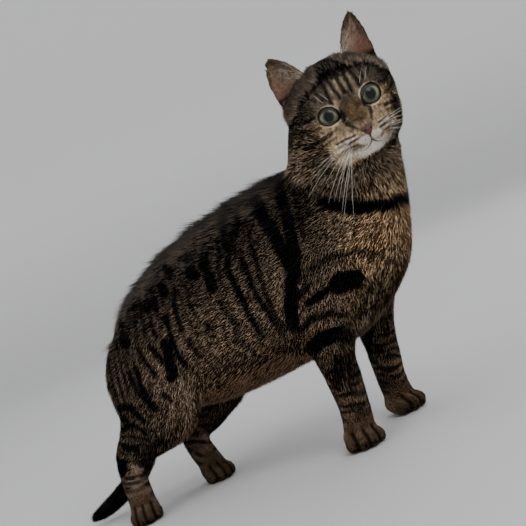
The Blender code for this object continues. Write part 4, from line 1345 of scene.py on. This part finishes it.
# A lid's bead: how many places and sides it has, its least thickness, how much more it has at the inner
# corner and along the top, how far it lies out on the eyeball, and how far round that it may go
LID_PLACES = 72
LID_SIDES = 10
LID_THICK = 0.00034
LID_CORNER = 0.0010
LID_TOP = 0.00050
LID_OUT = 1.018
LID_ROUND = 1.35


def aperture_curve(side, count):
    """The edge of the eye's opening, as directions in the eye's axes, drawn down to its inner corner."""
    sign = SIDES[side]
    found = []
    for k in range(count):
        angle = 2 * math.pi * k / count
        across = math.cos(angle)
        up = math.sin(angle) * abs(math.sin(angle)) ** 0.25
        inner = max(0.0, -across * sign)
        wide = APERTURE[0] * (1.0 + CORNER_REACH * inner**6)
        high = APERTURE[1] * up * (LOWER_HEIGHT if up < 0 else UPPER_HEIGHT)
        found.append((across * wide, high - CORNER_DROP * inner**3 + OPENING_RISE * (1 - inner), inner))
    return found


def make_lids(finish, shift):
    """The dark rim of each eye's lids, a soft bead round the opening that thickens at its inner corner."""
    meshes = []
    for side in SIDES:
        axes = seen_eye(side)
        rows = []
        for across, up, inner in aperture_curve(side, LID_PLACES):
            reach = math.hypot(across, up)
            polar = min(reach / EYE_RADIUS, LID_ROUND)
            rim = Vector((0.0, across / reach, up / reach))
            flat = math.sin(polar)
            outward = Vector((math.cos(polar), flat * across / reach, flat * up / reach))
            thick = LID_THICK + LID_CORNER * inner**4 + LID_TOP * max(0.0, min(1.0, up / 0.004))
            ring = []
            for j in range(LID_SIDES):
                turn = 2 * math.pi * j / LID_SIDES
                bead = outward * (EYE_RADIUS * LID_OUT + thick * 0.75 * math.sin(turn))
                ring.append(axes @ (bead + rim * thick * (0.35 + 1.05 * math.cos(turn))))
            rows.append(ring)
        rows.append(rows[0])
        meshes.append(grid_mesh("Lid", rows, True, shift))
    finished("lids", meshes, finish)


def finished(name, meshes, finish):
    """The meshes joined into one piece, with its finish."""
    mesh = joined(name, meshes)
    mesh.materials.append(finish)
    place(name, mesh, "coat")


# The nose's grid, its front and top in the head's axes, its height, half breadth and depth, and how far
# each form in it stands out (or is cut in)
NOSE_ACROSS = 44
NOSE_DOWN = 40
NOSE_FRONT = 0.0553
NOSE_TOP = -0.0178
NOSE_HEIGHT = 0.0078
NOSE_HALF = 0.0051
NOSE_FOOT_HALF = 0.0007
NOSE_DEPTH = 0.006
NOSE_RELIEF = {
    "crown": 0.0014,
    "sides": -0.0030,
    "top": -0.0034,
    "foot": -0.0030,
    "cleft": -0.0007,
    "slit": -0.0022,
    "wing": 0.0006,
}


def nose_relief(u, v):
    """How far the leather stands out, u from -1 to 1 across and v from 0 to 1 down."""
    out = NOSE_RELIEF
    bulge = out["crown"] * (1.0 - abs(u) ** 3.0) + out["sides"] * abs(u) ** 6
    top = out["top"] * max(0.0, 1.0 - v / 0.30) ** 2
    foot = out["foot"] * max(0.0, (v - 0.70) / 0.30) ** 2
    cleft = out["cleft"] * math.exp(-((u / 0.10) ** 2)) * eased(0.35, 0.75, v)
    comma = math.hypot((abs(u) - 0.60 - 0.18 * (v - 0.4)) / 0.24, (v - 0.42) / 0.20)
    slit = out["slit"] * math.exp(-(comma**2) * 1.6)
    wing = out["wing"] * math.exp(-(((abs(u) - 0.86) / 0.14) ** 2 + ((v - 0.32) / 0.22) ** 2))
    return NOSE_FRONT + bulge + top + foot + cleft + slit + wing


def outline(rows):
    """The edge of a grid of points, once round."""
    right, left = [row[-1] for row in rows[1:]], [row[0] for row in reversed(rows[1:-1])]
    return [*rows[0], *right, *reversed(rows[-1][:-1]), *left]


def make_nose(finish, shift):
    """The nose's leather: a rounded wedge with a comma of a nostril on each side and a cleft below."""
    axes = head_axes()
    rows = []
    for i in range(NOSE_DOWN + 1):
        v = i / NOSE_DOWN
        swell = 0.93 + 0.07 * math.sin(math.pi * min(1.0, v * 2.2))
        half = NOSE_HALF * (1.0 - v**1.5) ** 0.75 * swell + NOSE_FOOT_HALF
        row = []
        for k in range(NOSE_ACROSS + 1):
            u = 2.0 * k / NOSE_ACROSS - 1.0
            row.append(axes @ Vector((nose_relief(u, v), u * half, NOSE_TOP - NOSE_HEIGHT * v)))
        rows.append(row)
    sunk = Vector((-NOSE_DEPTH, 0.0, 0.0))
    inner = [[axes @ (axes.inverted() @ point + sunk) for point in row] for row in rows]
    front = grid_mesh("Front", rows, False, shift)
    band = grid_mesh("Band", [outline(rows), outline(inner)], True, shift)
    mesh = joined("nose", [front, band])
    form = bmesh.new()
    form.from_mesh(mesh)
    bmesh.ops.delete(form, geom=[face for face in form.faces if len(face.verts) > 4], context="FACES_ONLY")
    bmesh.ops.remove_doubles(form, verts=form.verts, dist=1e-6)
    bmesh.ops.recalc_face_normals(form, faces=form.faces)
    form.to_mesh(mesh)
    form.free()
    mesh.shade_smooth()
    mesh.materials.append(finish)
    place("nose", mesh, "coat")


# The line of the mouth from its middle to one corner, and the cleft over it: (across, up) in metres
MOUTH_LINE = ((0.0, -0.0300), (0.0035, -0.0335), (0.0080, -0.0350), (0.0120, -0.0347))
CLEFT_LINE = ((0.0, -0.0250), (0.0, -0.0280), (0.0, -0.0302))

# Half the thickness of each line, how far it lies in the skin, and how far ahead of the head rays start
MOUTH_THICK = 0.00062
CLEFT_THICK = 0.00110
LIP_SINK = 0.0001
RAY_START = 0.12


def make_lips(tree, finish, shift):
    """The dark line of the lips and the cleft above it, sunk into the skin."""
    axes = head_axes()
    back = axes.to_3x3() @ Vector((-1.0, 0.0, 0.0))
    lines = [([(y * sign, z) for y, z in MOUTH_LINE], MOUTH_THICK) for sign in SIDES.values()]
    meshes = []
    for line, thick in lines + [(CLEFT_LINE, CLEFT_THICK)]:
        path = []
        for across, up in fine(line, 6):
            hit = tree.ray_cast(axes @ Vector((RAY_START, across, up)), back)[0]
            path.append(hit + back * LIP_SINK)
        count = len(path)
        radii = [thick * (1.0 - 0.85 * (i / (count - 1)) ** 0.9) for i in range(count)]
        meshes.append(grid_mesh("Lip", tube_rows(path, radii, 8), True, shift))
    finished("lips", meshes, finish)


def fine(keys, steps):
    """Points on a smooth curve through the keys."""
    keys = np.array(keys, float)
    ends = np.vstack([2 * keys[0] - keys[1], keys, 2 * keys[-1] - keys[-2]])
    made = []
    for i in range(1, len(ends) - 2):
        a, b, c, d = ends[i - 1 : i + 3]
        for t in np.arange(steps) / steps:
            bend = (2 * a - 5 * b + 4 * c - d) * t**2 + (3 * b - 3 * c + d - a) * t**3
            made.append(0.5 * (2 * b + (c - a) * t + bend))
    made.append(keys[-1])
    return made


# The whiskers of each side: where the first and the last leave the muzzle (across, up, in millimetres),
# how far below level each points, in degrees, how far forward they lean, and their count and length
WHISKERS = {
    "right": ((-15.0, -21.0), (-20.0, -34.0), 4.0, 60.0, 0.22, 10, 0.049),
    "left": ((14.0, -21.0), (21.0, -29.0), -16.0, 16.0, 0.12, 6, 0.028),
}

# How whiskers vary: their place in millimetres, their angle in degrees, their length and their droop
WHISKER_PLACE = 1.6
WHISKER_ANGLE = 5.0
WHISKER_LENGTHS = (0.75, 1.1)
WHISKER_DROOP = (0.08, 0.24)
WHISKER_STEPS = 12
WHISKER_SIDES = 5
WHISKER_RADIUS = 0.00010
WHISKER_TIP = 0.00003
WHISKER_SEED = 17

# The hairs over each eye: their count, the first's place and the step between them, their way and length
BROW_HAIRS = 2
BROW_PLACE = (15.0, 15.5)
BROW_STEP = 5.0
BROW_WAY = (0.5, 0.4, 0.85)
BROW_LENGTH = 0.014


def make_whiskers(tree, finish, shift):
    """Long pale hairs from the muzzle and two short ones over each eye, each drooping to a fine tip."""
    axes = head_axes()
    turn = axes.to_3x3()
    back = turn @ Vector((-1.0, 0.0, 0.0))
    rng = np.random.default_rng(WHISKER_SEED)
    meshes = []
    for side, sign in SIDES.items():
        first, last, high, low, ahead, count, reach = WHISKERS[side]
        for k in range(count + BROW_HAIRS):
            share = k / (count - 1)
            moves = [rng.uniform(-WHISKER_PLACE, WHISKER_PLACE) for _ in first]
            spot = [a + (b - a) * share + move for a, b, move in zip(first, last, moves)]
            turned = math.radians(high + (low - high) * share + rng.uniform(-WHISKER_ANGLE, WHISKER_ANGLE))
            away = Vector((ahead, sign * math.cos(turned), -math.sin(turned)))
            length = reach * rng.uniform(*WHISKER_LENGTHS)
            if k >= count:
                spot = ((BROW_PLACE[0] + BROW_STEP * (k - count)) * sign, BROW_PLACE[1])
                away, length = Vector((BROW_WAY[0], BROW_WAY[1] * sign, BROW_WAY[2])), BROW_LENGTH
            start = axes @ Vector((RAY_START, spot[0] / 1000.0, spot[1] / 1000.0))
            hit = tree.ray_cast(start, back)[0]
            away = (turn @ away).normalized()
            droop = Vector((0.0, 0.0, -1.0)) * length * rng.uniform(*WHISKER_DROOP)
            path = [hit + away * length * t + droop * t * t for t in np.linspace(-0.02, 1.0, WHISKER_STEPS)]
            steps = np.linspace(0.0, 1.0, WHISKER_STEPS)
            radii = [WHISKER_RADIUS * (1.0 - t) ** 0.6 + WHISKER_TIP for t in steps]
            meshes.append(grid_mesh("Whisker", tube_rows(path, radii, WHISKER_SIDES), True, shift))
    finished("whiskers", meshes, finish)


def new_material(name, roughness, specular=None):
    made = bpy.data.materials.new(name)
    made.use_nodes = True
    shader = made.node_tree.nodes["Principled BSDF"]
    shader.inputs["Roughness"].default_value = roughness
    if specular is not None:
        shader.inputs["Specular IOR Level"].default_value = specular
    return made, made.node_tree.nodes, made.node_tree.links, shader


def node(nodes, kind, inputs=None, **settings):
    """A new shader node, with these settings and values of its inputs."""
    made = nodes.new("ShaderNode" + kind)
    for name, value in settings.items():
        setattr(made, name, value)
    for name, value in (inputs or {}).items():
        made.inputs[name].default_value = value
    return made


def scaled(nodes, links, colour, factor):
    """The colour times a grey factor."""
    mix = node(nodes, "Mix", {0: 1.0}, data_type="RGBA", blend_type="MULTIPLY")
    links.new(colour, mix.inputs[6])
    links.new(factor, mix.inputs[7])
    return mix.outputs[2]


def noise_bump(nodes, links, shader, scale, distance):
    """A fine relief, and the noise that makes it."""
    coordinates = node(nodes, "TexCoord")
    grain = node(nodes, "TexNoise", {"Scale": scale, "Detail": 4.0})
    bump = node(nodes, "Bump", {"Strength": 0.6, "Distance": distance})
    links.new(coordinates.outputs["Object"], grain.inputs["Vector"])
    links.new(grain.outputs["Fac"], bump.inputs["Height"])
    links.new(bump.outputs["Normal"], shader.inputs["Normal"])
    return grain


def flecked(nodes, links, shader, grain, darkest, lightest):
    """The coat's own colours as the shader's, made darker and lighter by the grain."""
    coat = node(nodes, "Attribute", attribute_name="Coat")
    ramp = node(nodes, "MapRange", {"To Min": darkest, "To Max": lightest})
    links.new(grain.outputs["Fac"], ramp.inputs["Value"])
    colour = scaled(nodes, links, coat.outputs["Color"], ramp.outputs["Result"])
    links.new(colour, shader.inputs["Base Color"])


# The bands of a hair: (place along it, grey factor), and how far the tufts' bands are moved
BANDS = ((0.0, 0.70), (0.45, 0.70), (0.66, 1.38), (0.84, 1.38), (1.0, 0.50))
BAND_MOVE = 0.30


def fur_material():
    """The coat's colour, banded along each hair where it isn't black: dark root, light band, dark tip."""
    made, nodes, links, shader = new_material("fur", 0.60, 0.12)
    names = "Coat", "Along", "Chance"
    coat, along, chance = (node(nodes, "Attribute", attribute_name=name) for name in names)
    moved = node(nodes, "Math", {1: BAND_MOVE}, operation="MULTIPLY_ADD")
    links.new(chance.outputs["Fac"], moved.inputs[0])
    links.new(along.outputs["Fac"], moved.inputs[2])
    bands = node(nodes, "ValToRGB")
    ramp = bands.color_ramp
    while len(ramp.elements) < len(BANDS):
        ramp.elements.new(0.5)
    for element, (position, value) in zip(ramp.elements, BANDS):
        element.position = position
        element.color = (value, value, value, 1.0)
    links.new(moved.outputs[0], bands.inputs["Fac"])
    plain = node(nodes, "Mix", data_type="RGBA")
    links.new(coat.outputs["Alpha"], plain.inputs[0])
    links.new(coat.outputs["Color"], plain.inputs[6])
    links.new(scaled(nodes, links, coat.outputs["Color"], bands.outputs["Color"]), plain.inputs[7])
    links.new(plain.outputs[2], shader.inputs["Base Color"])
    return made


def skin_material():
    """The skin under the coat, in the coat's own colours and as finely broken as short fur."""
    made, nodes, links, shader = new_material("skin", 0.75, 0.1)
    flecked(nodes, links, shader, noise_bump(nodes, links, shader, 900.0, 0.0006), 0.35, 1.15)
    return made


def eye_material():
    """The eyeball's colours, finely flecked, under a clear wet coat."""
    made, nodes, links, shader = new_material("eye", 0.35, 0.15)
    flecked(nodes, links, shader, node(nodes, "TexNoise", {"Scale": 1600.0}), 0.75, 1.25)
    shader.inputs["Coat Weight"].default_value = 0.22
    shader.inputs["Coat Roughness"].default_value = 0.02
    return made


def plain_material(name, colour, other, roughness, scale, distance):
    """A finish that drifts between two colours, with a fine grain in its relief."""
    made, nodes, links, shader = new_material(name, roughness)
    grain = noise_bump(nodes, links, shader, scale, distance)
    mix = node(nodes, "Mix", {6: (*colour, 1.0), 7: (*other, 1.0)}, data_type="RGBA")
    links.new(grain.outputs["Fac"], mix.inputs[0])
    links.new(mix.outputs[2], shader.inputs["Base Color"])
    return made


# The backdrop's section: (radius, height), from the floor up into the wall
STAGE = ((1.0, 0.0), (2.6, 0.0), (3.0, 0.03), (3.4, 0.14), (3.7, 0.33), (3.9, 0.62), (4.0, 1.0), (4.05, 3.4))


STAGE_SIDES = 96
FLOOR_COLOUR = (0.560, 0.560, 0.555, 1.0)
WALL_COLOUR = (0.840, 0.838, 0.832, 1.0)
WALL_RISE = 0.7

# Each light: its name, place, size and power. They face the middle of the cat.
LIGHTS = (
    ("key", (1.6, -1.1, 1.8), 1.6, 28.0),
    ("fill", (-1.4, -1.8, 1.3), 2.0, 9.0),
    ("rim", (0.4, 1.9, 1.6), 1.4, 12.0),
)
LIT_PLACE = Vector((0.0, 0.0, 0.15))
SKY_COLOUR = (0.80, 0.81, 0.83, 1.0)
SKY_STRENGTH = 1.02


def stage_material():
    """Matt and pale, a little paler up the wall, with a faint unevenness."""
    made, nodes, links, shader = new_material("stage", 0.9)
    coordinates = node(nodes, "TexCoord")
    split = node(nodes, "SeparateXYZ")
    climb = node(nodes, "MapRange", {"From Max": WALL_RISE})
    grain = node(nodes, "TexNoise", {"Scale": 1.5})
    add = node(nodes, "Math", {1: 0.10}, operation="MULTIPLY_ADD")
    mix = node(nodes, "Mix", {6: FLOOR_COLOUR, 7: WALL_COLOUR}, data_type="RGBA")
    links.new(coordinates.outputs["Object"], split.inputs[0])
    links.new(coordinates.outputs["Object"], grain.inputs["Vector"])
    links.new(split.outputs["Z"], climb.inputs["Value"])
    links.new(grain.outputs["Fac"], add.inputs[0])
    links.new(climb.outputs["Result"], add.inputs[2])
    links.new(add.outputs[0], mix.inputs[0])
    links.new(mix.outputs[2], shader.inputs["Base Color"])
    return made


def make_floor():
    """A pale floor that curves up into a wall all round."""
    form = bmesh.new()
    middle = form.verts.new((0.0, 0.0, 0.0))
    turns = [2 * math.pi * k / STAGE_SIDES for k in range(STAGE_SIDES)]
    loops = []
    for radius, height in STAGE:
        loops.append([form.verts.new((radius * math.cos(t), radius * math.sin(t), height)) for t in turns])
    after = [(k + 1) % STAGE_SIDES for k in range(STAGE_SIDES)]
    for k, j in enumerate(after):
        form.faces.new((middle, loops[0][k], loops[0][j]))
    for lower, upper in zip(loops, loops[1:]):
        for k, j in enumerate(after):
            form.faces.new((lower[k], upper[k], upper[j], lower[j]))
    bmesh.ops.recalc_face_normals(form, faces=form.faces)
    floor = add_object("floor", smooth_mesh(form, "floor"))
    floor.data.materials.append(stage_material())


def make_stage(shift):
    """The floor and wall, soft lights, and the photograph's camera."""
    make_floor()
    for name, spot, size, power in LIGHTS:
        light = bpy.data.lights.new(name, "AREA")
        light.shape = "DISK"
        light.size = size
        light.energy = power
        lamp = add_object(name, light)
        lamp.location = spot
        lamp.rotation_euler = (LIT_PLACE - Vector(spot)).to_track_quat("-Z", "Y").to_euler()
    world = bpy.data.worlds.new("studio")
    world.use_nodes = True
    sky = world.node_tree.nodes["Background"]
    sky.inputs["Color"].default_value = SKY_COLOUR
    sky.inputs["Strength"].default_value = SKY_STRENGTH
    bpy.context.scene.world = world
    ahead, right = CAMERA_AHEAD.normalized(), CAMERA_RIGHT.normalized()
    turn = Matrix((right, right.cross(ahead), -ahead)).transposed()
    camera = add_object("camera", bpy.data.cameras.new("camera"))
    camera.data.lens = CAMERA_LENS
    camera.data.sensor_width = SENSOR
    camera.data.clip_start = 0.01
    camera.matrix_world = Matrix.Translation(CAMERA_PLACE + shift) @ turn.to_4x4()
    bpy.context.scene.camera = camera


# Two colours for each plain finish, linear, then its roughness and its grain's scale and depth
WET = ((0.012, 0.009, 0.008), (0.030, 0.020, 0.017), 0.32, 900.0, 0.0002)
LEATHER = ((0.036, 0.014, 0.010), (0.110, 0.042, 0.029), 0.55, 900.0, 0.0003)
HAIR = ((0.90, 0.88, 0.85), (0.80, 0.77, 0.73), 0.35, 300.0, 0.0)

# How much brighter the skin is than the coat over it, and how often the parts' shares are smoothed
SKIN_BRIGHTNESS = 1.20
SHARE_ROUNDS = 5


def main():
    for obj in list(bpy.data.objects):
        bpy.data.objects.remove(obj)
    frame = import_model()
    low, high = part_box("eye_left")
    shift = (low + high) / 2 - eye_axes("left").translation
    nodes = [node for name, node in frame["nodes"].items() if not name.startswith("eye")]
    surface, owner, names, rows = make_skin(nodes, shift)
    shares = np.array([(name == "head", name.startswith("ear")) for name in names], float)[owner]
    shares = surface.smoothed(shares, SHARE_ROUNDS)
    colours, banded = coat_colour(surface.points, surface.normals(), shares)
    store_colour(surface.mesh, colours * SKIN_BRIGHTNESS, banded)
    tree = BVHTree.FromPolygons(surface.points.tolist(), surface.triangles().tolist())
    build_coat(surface, owner, names, rows, shares, Atlas(shift), fur_material(), shift)
    surface.mesh.transform(Matrix.Translation(shift))
    surface.mesh.materials.clear()
    surface.mesh.materials.append(skin_material())
    surface.mesh.shade_smooth()
    skin = place("skin", surface.mesh, "coat")
    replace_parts(skin, *[node.name for node in nodes])
    wet = plain_material("wet skin", *WET)
    leather = plain_material("nose leather", *LEATHER)
    hair = plain_material("whisker", *HAIR)
    glass = eye_material()
    for side in SIDES:
        make_eye(side, glass, shift)
    make_lids(wet, shift)
    make_nose(leather, shift)
    make_lips(tree, wet, shift)
    make_whiskers(tree, hair, shift)
    make_stage(shift)


main()
